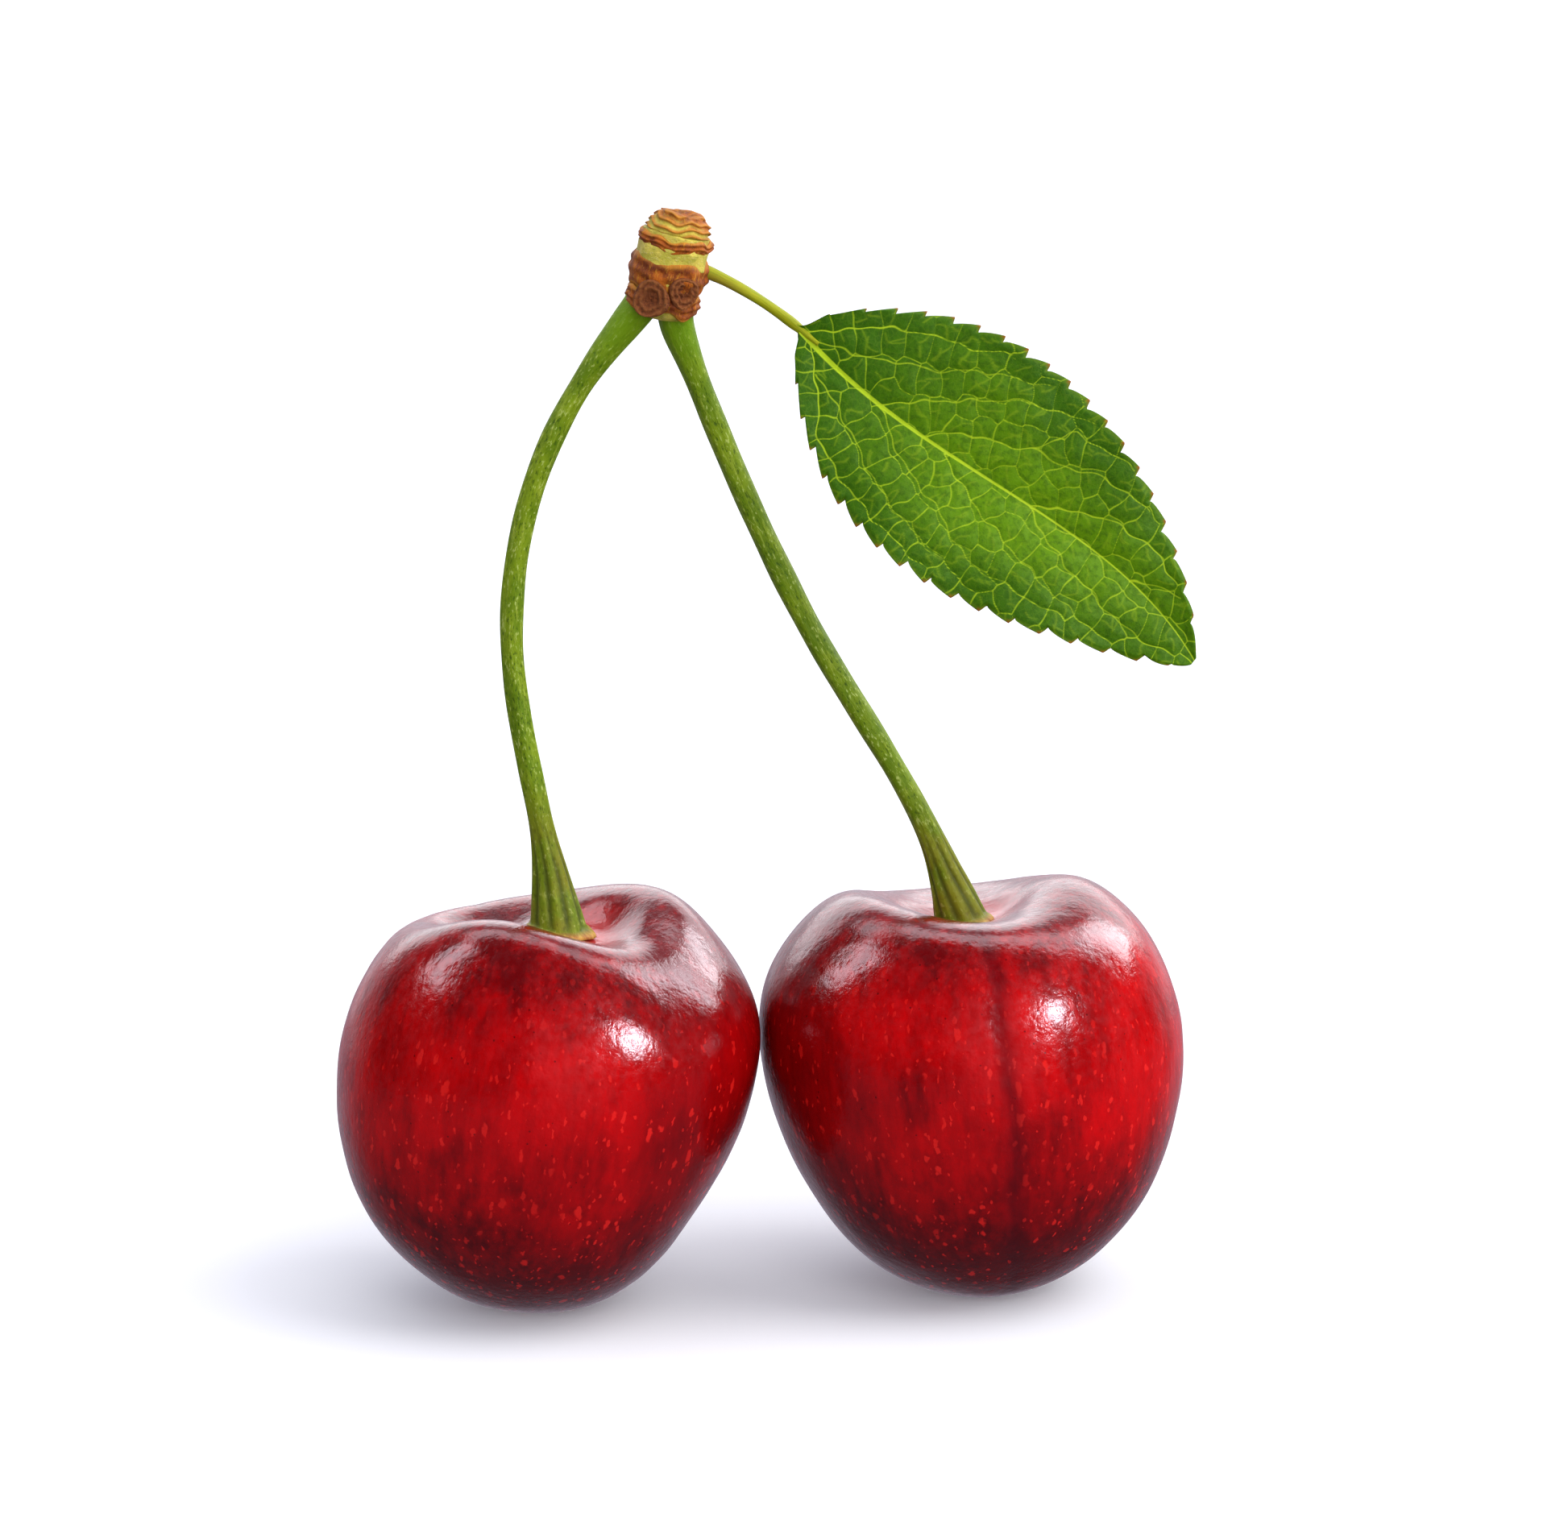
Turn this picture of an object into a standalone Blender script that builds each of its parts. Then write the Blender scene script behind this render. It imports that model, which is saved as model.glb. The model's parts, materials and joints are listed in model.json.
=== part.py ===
"""A pair of ripe sweet cherries on their stalks, joined at a short fruiting spur with one leaf.

Run it with: blender --background --python part.py, or from Blender's text editor.
Lengths are written in millimetres and angles in degrees. Right is +X, the back is +Y, up is +Z.
The two fruit rest on z = 0, each on a small flat at its tip.
"""

import math

import bmesh
import bpy
from mathutils import Matrix, Vector

MM = 0.001
OBJECT_SHIFT = Vector((1.33, 0.03, -0.3))  # puts the bottom centre of the whole on the world origin

# Fruit -----------------------------------------------------------------------------------------
# Radius and height of one fruit's outline, from its tip to the hollow that holds the stalk.
FRUIT_OUTLINE = (
    (0.0, -16.3), (3.1, -15.9), (6.4, -14.3), (9.6, -11.2), (11.7, -7.2), (12.75, -3.2), (13.0, 0.4),
    (12.4, 3.9), (10.9, 6.8), (8.6, 8.6), (6.2, 8.9), (4.2, 8.3), (2.8, 7.6), (1.7, 7.2), (0.0, 7.1),
)
OUTLINE_WIDTH = 26.0
OUTLINE_SEAT = 7.1
CREST_RADIUS = 6.2
CREST_WIDTH = 3.6
RIM_RADIUS = 6.6
RIM_WIDTH = 4.2
OUTLINE_STEPS = 2
FRUIT_SIDES = 44
FRUIT_DEPTH = 0.93  # depth over width
BASE_FULLNESS = 0.05  # how much blunter the tip is seen from the side than from the front
# Under "rim": bearing, half-width and height of each swelling of the shoulder round the hollow.
# Under "foot": how far the stalk stands from the middle of the hollow, to the right.
LEFT_FRUIT = {
    "centre": (-14.70, -2.05, 16.0), "lean": 8.0, "nod": 3.6, "width": 25.85,
    "upper": 0.99, "lower": 0.985, "crest": -0.1, "crest_side": 2.45,
    "cheek_right": 0.05, "cheek_left": -0.03, "base_right": -0.07, "base_left": 0.035, "seat": 8.7,
    "rim": ((-135.0, 50.0, 3.2), (-35.0, 35.0, -1.2), (60.0, 50.0, 0.45)), "foot": -0.3,
}
RIGHT_FRUIT = {
    "centre": (11.70, 1.76, 16.6), "lean": -5.3, "nod": -0.7, "width": 26.4,
    "upper": 0.967, "lower": 1.018, "crest": 0.86, "crest_side": -0.21,
    "cheek_right": -0.012, "cheek_left": 0.02, "base_right": 0.011, "base_left": -0.029, "seat": 7.5,
    "rim": ((-115.0, 55.0, 1.45), (50.0, 45.0, 0.35)), "foot": 0.15,
}

# Stalks ----------------------------------------------------------------------------------------
STALK_SIDES = 16
STALK_RINGS_PER_SPAN = 15
STALK_RADIUS = 0.70
STALK_TOP_RADIUS = 1.04
STALK_TOP_FLARE_LENGTH = 7.0
STALK_TOP_FLARE_POWER = 1.6
STALK_FOOT_RADIUS = 1.9
STALK_FOOT_FLARE_LENGTH = 9.0
STALK_FOOT_FLARE_POWER = 2.15
STALK_GAP = 0.28  # clear of the fruit
# Two Bezier spans in x and z, from the fruit to the spur; y runs evenly from one end to the other.
LEFT_STALK = {
    "spans": ((-14.3, 27.0), (-15.0, 33.2), (-16.94, 38.4), (-16.69, 44.35),
              (-16.45, 50.5), (-14.43, 56.45), (-9.75, 62.0)),
    "top": (-9.02, 62.58), "y": (-2.1, -0.1),
}
RIGHT_STALK = {
    "spans": ((10.15, 27.0), (8.15, 32.9), (4.11, 37.96), (0.98, 44.18),
              (-2.15, 50.39), (-4.43, 56.28), (-6.62, 62.2)),
    "top": (-6.78, 62.62), "y": (1.75, 0.1),
}

# Spur ------------------------------------------------------------------------------------------
SPUR_FOOT = (-7.6, 0.0, 62.95)
SPUR_LEAN = 13.0
SPUR_SIDES = 28
# Height and radius of the bark, which the dry scales wrap round.
BARK_OUTLINE = ((0.0, 1.9), (0.25, 2.1), (1.5, 2.08), (3.0, 2.06), (3.25, 2.2), (3.7, 2.24),
                (4.15, 2.12), (4.2, 1.84), (4.5, 1.84), (4.6, 1.98), (4.85, 1.9), (4.9, 1.5), (5.1, 1.3))
SCALE_GAP = 0.1
# Name, lowest and highest height, and outer radius of each collar of dry bud scales.
SCALE_COLLARS = (
    ("scale_collar_base", 0.30, 1.35, 2.42),
    ("scale_collar_middle", 1.50, 2.98, 2.46),
    ("scale_collar_upper", 4.20, 4.52, 2.22),
)
COLLAR_WAVER = 0.03
CROWN_OUTLINE = ((5.0, 1.78), (5.35, 1.72), (5.8, 1.45), (6.1, 1.12), (6.3, 0.98), (6.3, 0.6), (6.05, 0.3))
CROWN_UNDERSIDE = ((5.22, 1.4), (5.0, 1.5))
SCAR_THICKNESS = 0.32
# Height, turn from the front, distance out from the spur's axis and radius of each old stalk's scar.
SCARS = (
    ("stalk_scar_front", 1.0, -16.0, 2.66, 1.15),
    ("stalk_scar_side", 1.7, 46.0, 2.66, 0.9),
)

# Leaf ------------------------------------------------------------------------------------------
LEAF_STALK_RADIUS = 0.37
LEAF_STALK_PATH = ((-4.15, 0.1, 65.2), (-2.8, 0.0, 64.5), (-1.1, 0.0, 63.45), (0.5, 0.0, 62.15))
LEAF_STALK_SIDES = 12
LEAF_BASE = (0.78, 0.0, 61.98)
LEAF_LENGTH = 31.8
LEAF_DROP = 40.0  # the midrib's angle below the level
LEAF_TILT = 13.6  # how far the leaf's face looks up
LEAF_THICKNESS = 0.32
LEAF_TEETH = 19
LEAF_STEPS_PER_TOOTH = 3
LEAF_TOOTH_DEPTH = 0.5
LEAF_MIDRIB_SWAY = (-5.45, 12.26, 4.73)
LEAF_FOLD = 0.7
LEAF_ARCH = 1.0
LEAF_TIP_DROOP = 0.9
# How soon the teeth reach their full depth from either end of the blade.
LEAF_TOOTH_RISE = 8.0
LEAF_TOOTH_FALL = 10.0
LEAF_NARROWEST = 0.25
LEAF_UPPER_EDGE = (25.1, 0.73, 0.92, -0.02)
LEAF_LOWER_EDGE = (29.7, 0.835, 0.57, -0.775)
LEAF_TAPER = 0.035  # the share of the length over which the blade widens from its stalk
LEAF_EDGE_START = 0.012
LEAF_EDGE_END = 0.995


def clear_scene():
    for item in list(bpy.data.objects):
        bpy.data.objects.remove(item, do_unlink=True)


def material(name, colour, roughness, coat=0.0):
    made = bpy.data.materials.new(name)
    made.use_nodes = True
    shader = made.node_tree.nodes["Principled BSDF"]
    shader.inputs["Base Color"].default_value = (*colour, 1.0)
    shader.inputs["Roughness"].default_value = roughness
    shader.inputs["Metallic"].default_value = 0.0
    shader.inputs["Coat Weight"].default_value = coat
    made.diffuse_color = (*colour, 1.0)
    return made


def finish(mesh, name, surface, matrix=None):
    """Turn a bmesh in millimetres into a smooth-shaded object in metres."""
    bmesh.ops.recalc_face_normals(mesh, faces=mesh.faces)
    bmesh.ops.scale(mesh, vec=(MM, MM, MM), verts=mesh.verts)
    data = bpy.data.meshes.new(name)
    mesh.to_mesh(data)
    mesh.free()
    data.shade_smooth()
    data.materials.append(surface)
    made = bpy.data.objects.new(name, data)
    bpy.context.collection.objects.link(made)
    if matrix is not None:
        made.matrix_world = matrix
    return made


def placing(centre, turn):
    """A world matrix in metres from a place in millimetres and a turn."""
    return Matrix.Translation((Vector(centre) + OBJECT_SHIFT) * MM) @ turn.to_4x4()


def smooth_step(value):
    held = min(max(value, 0.0), 1.0)
    return held * held * (3.0 - 2.0 * held)


def bell(value, middle, width):
    return math.exp(-(((value - middle) / width) ** 2))


def through(points, steps):
    """Points along a smooth curve through the given ones, which turns square at both ends."""
    first = (-points[1][0], points[1][1])
    last = (-points[-2][0], points[-2][1])
    held = (first, *points, last)
    found = []
    for index in range(1, len(held) - 2):
        before, start, end, after = held[index - 1 : index + 3]
        for step in range(steps):
            t = step / steps
            found.append(
                tuple(
                    0.5 * (2 * b + (c - a) * t + (2 * a - 5 * b + 4 * c - d) * t**2
                           + (3 * b - a - 3 * c + d) * t**3)
                    for a, b, c, d in zip(before, start, end, after)
                )
            )
    found.append(points[-1])
    return found


def bridge_rings(mesh, rings):
    for lower, upper in zip(rings, rings[1:]):
        count = len(lower)
        for side in range(count):
            after = (side + 1) % count
            mesh.faces.new((lower[side], lower[after], upper[after], upper[side]))


def close_with_point(mesh, ring, point):
    tip = mesh.verts.new(point)
    for side, vertex in enumerate(ring):
        mesh.faces.new((vertex, ring[(side + 1) % len(ring)], tip))


# ------------------------------------------------------------------------------------------ fruit
def fruit_point(form, radius, height, angle):
    """A point of the skin, from the plain outline and the ways in which this fruit differs from it."""
    across = math.cos(angle)
    right = max(across, 0.0) ** 1.5
    left = max(-across, 0.0) ** 1.5
    low_band = bell(height, -9.0, 5.5)
    high_band = bell(height, 5.5, 4.0) * smooth_step((radius - 6.0) / 5.0)
    swell = 1.0 + low_band * (form["base_right"] * right + form["base_left"] * left)
    swell += low_band * BASE_FULLNESS * math.sin(angle) ** 2
    swell += high_band * (form["cheek_right"] * right + form["cheek_left"] * left)
    shoulder = smooth_step(height / 6.0) * smooth_step((radius - 1.5) / 3.5)
    crest = bell(radius, CREST_RADIUS, CREST_WIDTH) * shoulder
    rim = bell(radius, RIM_RADIUS, RIM_WIDTH) * shoulder
    hollow = smooth_step(1.0 - radius / CREST_RADIUS) * (height > 0.0)
    up = height * (form["upper"] if height > 0.0 else form["lower"])
    up += crest * (form["crest"] * math.cos(2.0 * angle) + form["crest_side"] * across)
    for bearing, width, rise in form["rim"]:
        off = (math.degrees(angle) - bearing + 180.0) % 360.0 - 180.0
        up += rim * rise * bell(off, 0.0, width)
    up += hollow * (form["seat"] - OUTLINE_SEAT * form["upper"])
    out = radius * swell * form["width"] / OUTLINE_WIDTH
    return Vector((out * across, out * math.sin(angle) * FRUIT_DEPTH, up))


def fruit_turn(form):
    return Matrix.Rotation(math.radians(form["nod"]), 3, "X") @ Matrix.Rotation(
        math.radians(form["lean"]), 3, "Y"
    )


def make_fruit(name, form, surface):
    matrix = placing(form["centre"], fruit_turn(form))
    outline = through(FRUIT_OUTLINE, OUTLINE_STEPS)
    mesh = bmesh.new()
    rings = []
    for radius, height in outline[1:-1]:
        turns = (math.tau * side / FRUIT_SIDES for side in range(FRUIT_SIDES))
        rings.append([mesh.verts.new(fruit_point(form, radius, height, turn)) for turn in turns])
    bridge_rings(mesh, rings)
    close_with_point(mesh, rings[0][::-1], fruit_point(form, *outline[0], 0.0))
    close_with_point(mesh, rings[-1], fruit_point(form, *outline[-1], 0.0))
    ground = matrix.inverted() @ Vector((0.0, 0.0, 0.0)) / MM
    down = matrix.to_3x3().inverted() @ Vector((0.0, 0.0, -1.0))
    everything = mesh.verts[:] + mesh.edges[:] + mesh.faces[:]
    cut = bmesh.ops.bisect_plane(mesh, geom=everything, plane_co=ground, plane_no=down, clear_outer=True)
    rim = [item for item in cut["geom_cut"] if isinstance(item, bmesh.types.BMEdge)]
    bmesh.ops.edgeloop_fill(mesh, edges=rim)
    return finish(mesh, name, surface, matrix)


# ----------------------------------------------------------------------------------------- stalks
def bezier(points, t):
    a, b, c, d = (Vector(point) for point in points)
    left = 1.0 - t
    return a * left**3 + b * 3 * left**2 * t + c * 3 * left * t**2 + d * t**3


def stalk_path(form, fruit):
    """Points from the fruit's hollow to the foot of the spur."""
    turn = fruit_turn(fruit)
    seat = Vector(fruit["centre"]) + turn @ Vector((fruit["foot"], 0.0, fruit["seat"] + STALK_GAP))
    flat = []
    for span in (0, 3):
        points = form["spans"][span : span + 4]
        flat += [bezier(points, step / STALK_RINGS_PER_SPAN) for step in range(STALK_RINGS_PER_SPAN)]
    flat += [Vector(form["spans"][-1]), Vector(form["top"])]
    lowest, highest = flat[0].y, flat[-1].y
    near, far = form["y"]
    path = [Vector((at.x, near + (far - near) * (at.y - lowest) / (highest - lowest), at.y)) for at in flat]
    foot = path[0]
    rise = [seat.lerp(foot, share) for share in (0.0, 0.16, 0.34, 0.56, 0.78)]
    return rise + path, turn @ Vector((0.0, 0.0, 1.0))


def stalk_radius(from_foot, from_top):
    foot = max(0.0, 1.0 - from_foot / STALK_FOOT_FLARE_LENGTH) ** STALK_FOOT_FLARE_POWER
    top = max(0.0, 1.0 - from_top / STALK_TOP_FLARE_LENGTH) ** STALK_TOP_FLARE_POWER
    return STALK_RADIUS + (STALK_FOOT_RADIUS - STALK_RADIUS) * foot + (STALK_TOP_RADIUS - STALK_RADIUS) * top


def sweep(path, radii, sides, first_axis=None, last_axis=None, blend=3.0):
    """A closed rod along a path; its end rings lie square to the axes given for them."""
    mesh = bmesh.new()
    lengths = [0.0]
    for start, end in zip(path, path[1:]):
        lengths.append(lengths[-1] + (end - start).length)
    rings = []
    for index, centre in enumerate(path):
        along = (path[min(index + 1, len(path) - 1)] - path[max(index - 1, 0)]).normalized()
        if first_axis is not None:
            share = smooth_step(1.0 - lengths[index] / blend)
            along = along.lerp(first_axis, share).normalized()
        if last_axis is not None:
            share = smooth_step(1.0 - (lengths[-1] - lengths[index]) / blend)
            along = along.lerp(last_axis, share).normalized()
        side = Vector((0.0, 1.0, 0.0)).cross(along).normalized()
        front = along.cross(side)
        turns = [math.tau * step / sides for step in range(sides)]
        radius = radii[index]
        rings.append(
            [mesh.verts.new(centre + (side * math.cos(a) + front * math.sin(a)) * radius) for a in turns]
        )
    bridge_rings(mesh, rings)
    mesh.faces.new(rings[0][::-1])
    mesh.faces.new(rings[-1])
    return mesh


def make_stalk(name, form, fruit, spur_axis, surface):
    path, fruit_axis = stalk_path(form, fruit)
    whole = sum((end - start).length for start, end in zip(path, path[1:]))
    radii = []
    walked = 0.0
    for index, point in enumerate(path):
        walked += (point - path[index - 1]).length if index else 0.0
        radii.append(stalk_radius(walked, whole - walked))
    mesh = sweep(path, radii, STALK_SIDES, fruit_axis, spur_axis)
    return finish(mesh, name, surface, placing((0.0, 0.0, 0.0), Matrix.Identity(3)))


# ------------------------------------------------------------------------------------------- spur
def ring_of(mesh, radius, height, waver=0.0, waves=5):
    """A level ring of new vertices round the z axis, with a slow waver in its radius."""
    ring = []
    for side in range(SPUR_SIDES):
        angle = math.tau * side / SPUR_SIDES
        out = radius + waver * math.sin(waves * angle)
        ring.append(mesh.verts.new((out * math.cos(angle), out * math.sin(angle), height)))
    return ring


def make_bark(matrix, surface):
    mesh = bmesh.new()
    rings = [ring_of(mesh, radius, height) for height, radius in BARK_OUTLINE]
    bridge_rings(mesh, rings)
    mesh.faces.new(rings[0][::-1])
    mesh.faces.new(rings[-1])
    return finish(mesh, "spur_bark", surface, matrix)


def bark_radius(height):
    """The bark's radius at a height, by straight lines between the outline's points."""
    for (low, near), (high, far) in zip(BARK_OUTLINE, BARK_OUTLINE[1:]):
        if low <= height <= high:
            return near + (far - near) * (height - low) / (high - low)
    return BARK_OUTLINE[-1][1]


def make_collar(name, low, high, outer, matrix, surface):
    """A ring of dry scales that clasps the bark without touching it."""
    inner = max(bark_radius(low + (high - low) * share / 8) for share in range(9)) + SCALE_GAP
    lip = (high - low) * 0.2
    mesh = bmesh.new()
    section = [ring_of(mesh, inner, low)]
    for height, radius in ((low, outer - 0.12), (low + lip, outer), (high - lip, outer), (high, outer - 0.1)):
        section.append(ring_of(mesh, radius, height, COLLAR_WAVER, 7))
    section.append(ring_of(mesh, inner, high))
    bridge_rings(mesh, [*section, section[0]])
    return finish(mesh, name, surface, matrix)


def make_crown(matrix, surface):
    """The dry scales that close over the spur's end, hollow below where they sit on the bark."""
    mesh = bmesh.new()
    inside = [ring_of(mesh, radius, height) for height, radius in CROWN_UNDERSIDE]
    outside = [ring_of(mesh, radius, height, COLLAR_WAVER, 6) for height, radius in CROWN_OUTLINE]
    bridge_rings(mesh, [*inside, *outside])
    mesh.faces.new(inside[0][::-1])
    close_with_point(mesh, outside[-1], (0.0, 0.0, CROWN_OUTLINE[-1][0] - 0.05))
    return finish(mesh, "scale_crown", surface, matrix)


def make_scar(name, height, bearing, reach, radius, matrix, surface):
    """The round corky mark of a stalk that has dropped."""
    mesh = bmesh.new()
    half = SCAR_THICKNESS / 2
    outline = ((radius * 0.86, -half), (radius, -half * 0.4), (radius, half * 0.3), (radius * 0.82, half),
               (radius * 0.45, half * 0.55))
    rings = []
    for out, up in outline:
        turns = [math.tau * side / SPUR_SIDES for side in range(SPUR_SIDES)]
        rings.append([mesh.verts.new((out * math.cos(a), out * math.sin(a), up)) for a in turns])
    bridge_rings(mesh, rings)
    mesh.faces.new(rings[0][::-1])
    close_with_point(mesh, rings[-1], (0.0, 0.0, half * 0.2))
    facing = Matrix.Rotation(math.radians(bearing), 4, "Z") @ Matrix.Rotation(math.radians(90.0), 4, "X")
    bmesh.ops.transform(mesh, matrix=facing, verts=mesh.verts)
    turn = math.radians(bearing)
    away = Vector((math.sin(turn), -math.cos(turn), 0.0)) * reach
    bmesh.ops.translate(mesh, vec=away + Vector((0.0, 0.0, height)), verts=mesh.verts)
    return finish(mesh, name, surface, matrix)


# ------------------------------------------------------------------------------------------- leaf
def make_leaf_stalk(surface):
    path = []
    points = [Vector(point) for point in LEAF_STALK_PATH]
    for step in range(9):
        path.append(bezier(points, step / 8))
    radii = [LEAF_STALK_RADIUS * (1.25 - 0.25 * smooth_step(step / 3)) for step in range(9)]
    mesh = sweep(path, radii, LEAF_STALK_SIDES)
    return finish(mesh, "leaf_stalk", surface, placing((0.0, 0.0, 0.0), Matrix.Identity(3)))


def edge_distance(shape, share):
    """How far the blade's edge is from the midrib, without its teeth."""
    size, rise, fall, slant = shape
    held = min(max(share, 0.0), 1.0)
    return size * held**rise * (1.0 - held) ** fall * (1.0 + slant * held) * smooth_step(held / LEAF_TAPER)


def leaf_point(share, across, reach):
    """A point of the blade's upper face in the leaf's own axes: along, across and out."""
    start, bend, hook = LEAF_MIDRIB_SWAY
    sway = share * (1.0 - share) * (start + bend * share + hook * share**2)
    out = -LEAF_FOLD * (1.0 - abs(across)) ** 2 * math.sin(math.pi * share)
    out += LEAF_ARCH * math.sin(math.pi * share) - LEAF_TIP_DROOP * share**4
    return Vector((LEAF_LENGTH * share, sway * (1.0 - abs(across)) + reach, out))


def make_leaf_blade(surface):
    steps = LEAF_TEETH * LEAF_STEPS_PER_TOOTH
    columns = (-1.0, -0.66, -0.33, 0.0, 0.33, 0.66, 1.0)
    tooth_profile = (0.0, 0.55, 1.0)
    mesh = bmesh.new()
    faces = {1: [], -1: []}
    for step in range(steps + 1):
        share = LEAF_EDGE_START + (LEAF_EDGE_END - LEAF_EDGE_START) * step / steps
        tooth = tooth_profile[step % LEAF_STEPS_PER_TOOTH]
        fade = min(1.0, LEAF_TOOTH_RISE * share) * min(1.0, LEAF_TOOTH_FALL * (1.0 - share))
        for layer in (1, -1):
            row = []
            for across in columns:
                shape = LEAF_UPPER_EDGE if across > 0 else LEAF_LOWER_EDGE
                edge = edge_distance(shape, share) - LEAF_TOOTH_DEPTH * (1.0 - tooth) * fade
                edge = max(edge, LEAF_NARROWEST)
                at = leaf_point(share, across, across * edge)
                at.z += layer * LEAF_THICKNESS / 2
                row.append(mesh.verts.new(at))
            faces[layer].append(row)
    for layer in (1, -1):
        rows = faces[layer]
        for lower, upper in zip(rows, rows[1:]):
            for column in range(len(columns) - 1):
                mesh.faces.new((lower[column], lower[column + 1], upper[column + 1], upper[column]))
    top, bottom = faces[1], faces[-1]
    border_top = top[0] + [row[-1] for row in top[1:]] + top[-1][-2::-1] + [row[0] for row in top[-2:0:-1]]
    border_low = (
        bottom[0] + [row[-1] for row in bottom[1:]] + bottom[-1][-2::-1] + [row[0] for row in bottom[-2:0:-1]]
    )
    bridge_rings(mesh, [border_top, border_low])
    down = math.radians(LEAF_DROP)
    tilt = math.radians(LEAF_TILT)
    along = Vector((math.cos(down), -math.sin(down) * math.sin(tilt), -math.sin(down) * math.cos(tilt)))
    across = Vector((math.sin(down), math.cos(down) * math.sin(tilt), math.cos(down) * math.cos(tilt)))
    out = along.cross(across)
    turn = Matrix((along, across, out)).transposed()
    return finish(mesh, "leaf_blade", surface, placing(LEAF_BASE, turn))


# ------------------------------------------------------------------------------------------- main
def main():
    clear_scene()
    skin = material("cherry_skin", (0.36, 0.004, 0.008), 0.22, coat=0.6)
    green = material("stalk_green", (0.10, 0.17, 0.012), 0.5)
    bark = material("spur_bark", (0.58, 0.42, 0.06), 0.6)
    scale = material("dry_scale", (0.33, 0.09, 0.02), 0.75)
    cork = material("corky_scar", (0.15, 0.04, 0.012), 0.85)
    stem = material("leaf_stalk", (0.33, 0.31, 0.02), 0.5)
    blade = material("leaf_green", (0.10, 0.23, 0.004), 0.42)

    make_fruit("cherry_left", LEFT_FRUIT, skin)
    make_fruit("cherry_right", RIGHT_FRUIT, skin)

    lean = Matrix.Rotation(math.radians(SPUR_LEAN), 3, "Y")
    spur = placing(SPUR_FOOT, lean)
    spur_axis = lean @ Vector((0.0, 0.0, 1.0))
    make_stalk("stalk_left", LEFT_STALK, LEFT_FRUIT, spur_axis, green)
    make_stalk("stalk_right", RIGHT_STALK, RIGHT_FRUIT, spur_axis, green)
    make_bark(spur, bark)
    for name, low, high, outer in SCALE_COLLARS:
        make_collar(name, low, high, outer, spur, scale)
    make_crown(spur, scale)
    for name, height, bearing, reach, radius in SCARS:
        make_scar(name, height, bearing, reach, radius, spur, cork)
    make_leaf_stalk(stem)
    make_leaf_blade(blade)


main()
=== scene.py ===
"""A pair of sweet cherries on their stalks with one leaf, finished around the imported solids.

Every piece is made by its own operator, listed in the Cherries panel of the 3D view's sidebar.
Shapes are worked out in millimetres and set down in metres where the solids stand.
"""

import json
import math

import bpy
import numpy as np
from mathutils import Matrix, Vector


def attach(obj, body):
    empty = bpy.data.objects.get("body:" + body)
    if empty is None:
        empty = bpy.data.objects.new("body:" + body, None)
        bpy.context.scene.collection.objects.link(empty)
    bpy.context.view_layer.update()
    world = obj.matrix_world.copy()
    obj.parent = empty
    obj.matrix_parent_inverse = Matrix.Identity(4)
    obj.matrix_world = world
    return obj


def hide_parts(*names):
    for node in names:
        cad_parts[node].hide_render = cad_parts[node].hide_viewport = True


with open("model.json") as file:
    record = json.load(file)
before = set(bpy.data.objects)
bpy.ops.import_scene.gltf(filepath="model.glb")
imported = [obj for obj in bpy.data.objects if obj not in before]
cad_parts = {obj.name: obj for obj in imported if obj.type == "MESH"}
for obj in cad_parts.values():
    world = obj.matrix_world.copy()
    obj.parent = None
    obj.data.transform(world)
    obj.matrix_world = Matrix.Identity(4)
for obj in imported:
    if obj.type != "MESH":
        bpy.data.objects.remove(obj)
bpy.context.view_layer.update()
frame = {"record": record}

bl_info = {
    "name": "Cherries on Stalks",
    "version": (1, 0, 0),
    "blender": (4, 5, 0),
    "location": "3D View > Sidebar > Cherries",
    "description": "Two sweet cherries on their stalks, with the spur and the leaf they grow with",
    "category": "Object",
}

MM = 0.001
BODY = "root"

# The solids stand so that this point of the plan, in millimetres, is where the left fruit rests.
LEFT_REST_ON_PLAN = Vector((-15.53, -1.63, 0.3))
LEFT_REST = next(item for item in frame["record"]["mounts"] if item["name"] == "left_rest")
SHIFT = np.array(LEFT_REST["pos_m"]) / MM - np.array(LEFT_REST_ON_PLAN)

# ------------------------------------------------------------------------------------ the plan
FRUIT_OUTLINE = (
    (0.0, -16.3), (3.1, -15.9), (6.4, -14.3), (9.6, -11.2), (11.7, -7.2), (12.75, -3.2), (13.0, 0.4),
    (12.4, 3.9), (10.9, 6.8), (8.6, 8.6), (6.2, 8.9), (4.2, 8.3), (2.8, 7.6), (1.7, 7.2), (0.0, 7.1),
)
OUTLINE_WIDTH = 26.0
OUTLINE_SEAT = 7.1
CREST_RADIUS = 6.2
CREST_WIDTH = 3.6
RIM_RADIUS = 6.6
RIM_WIDTH = 4.2
FRUIT_DEPTH = 0.93  # depth over width
BASE_FULLNESS = 0.05
# The last entry of each fruit spans, in millimetres across it, the cheek that faces the other fruit, which is
# painted darker as shade.
LEFT_FRUIT = {
    "centre": (-14.70, -2.05, 16.0), "lean": 8.0, "nod": 3.6, "width": 25.85,
    "upper": 0.99, "lower": 0.985, "crest": -0.1, "crest_side": 2.45,
    "cheek_right": 0.05, "cheek_left": -0.03, "base_right": -0.07, "base_left": 0.035, "seat": 8.7,
    "rim": ((-135.0, 50.0, 3.2), (-35.0, 35.0, -1.2), (60.0, 50.0, 0.45)), "foot": -0.3,
    "seam": 128.0, "seam_depth": 0.10, "offset": 3.1, "painted_shade_cheek": (3.5, 8.0),
}
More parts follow.
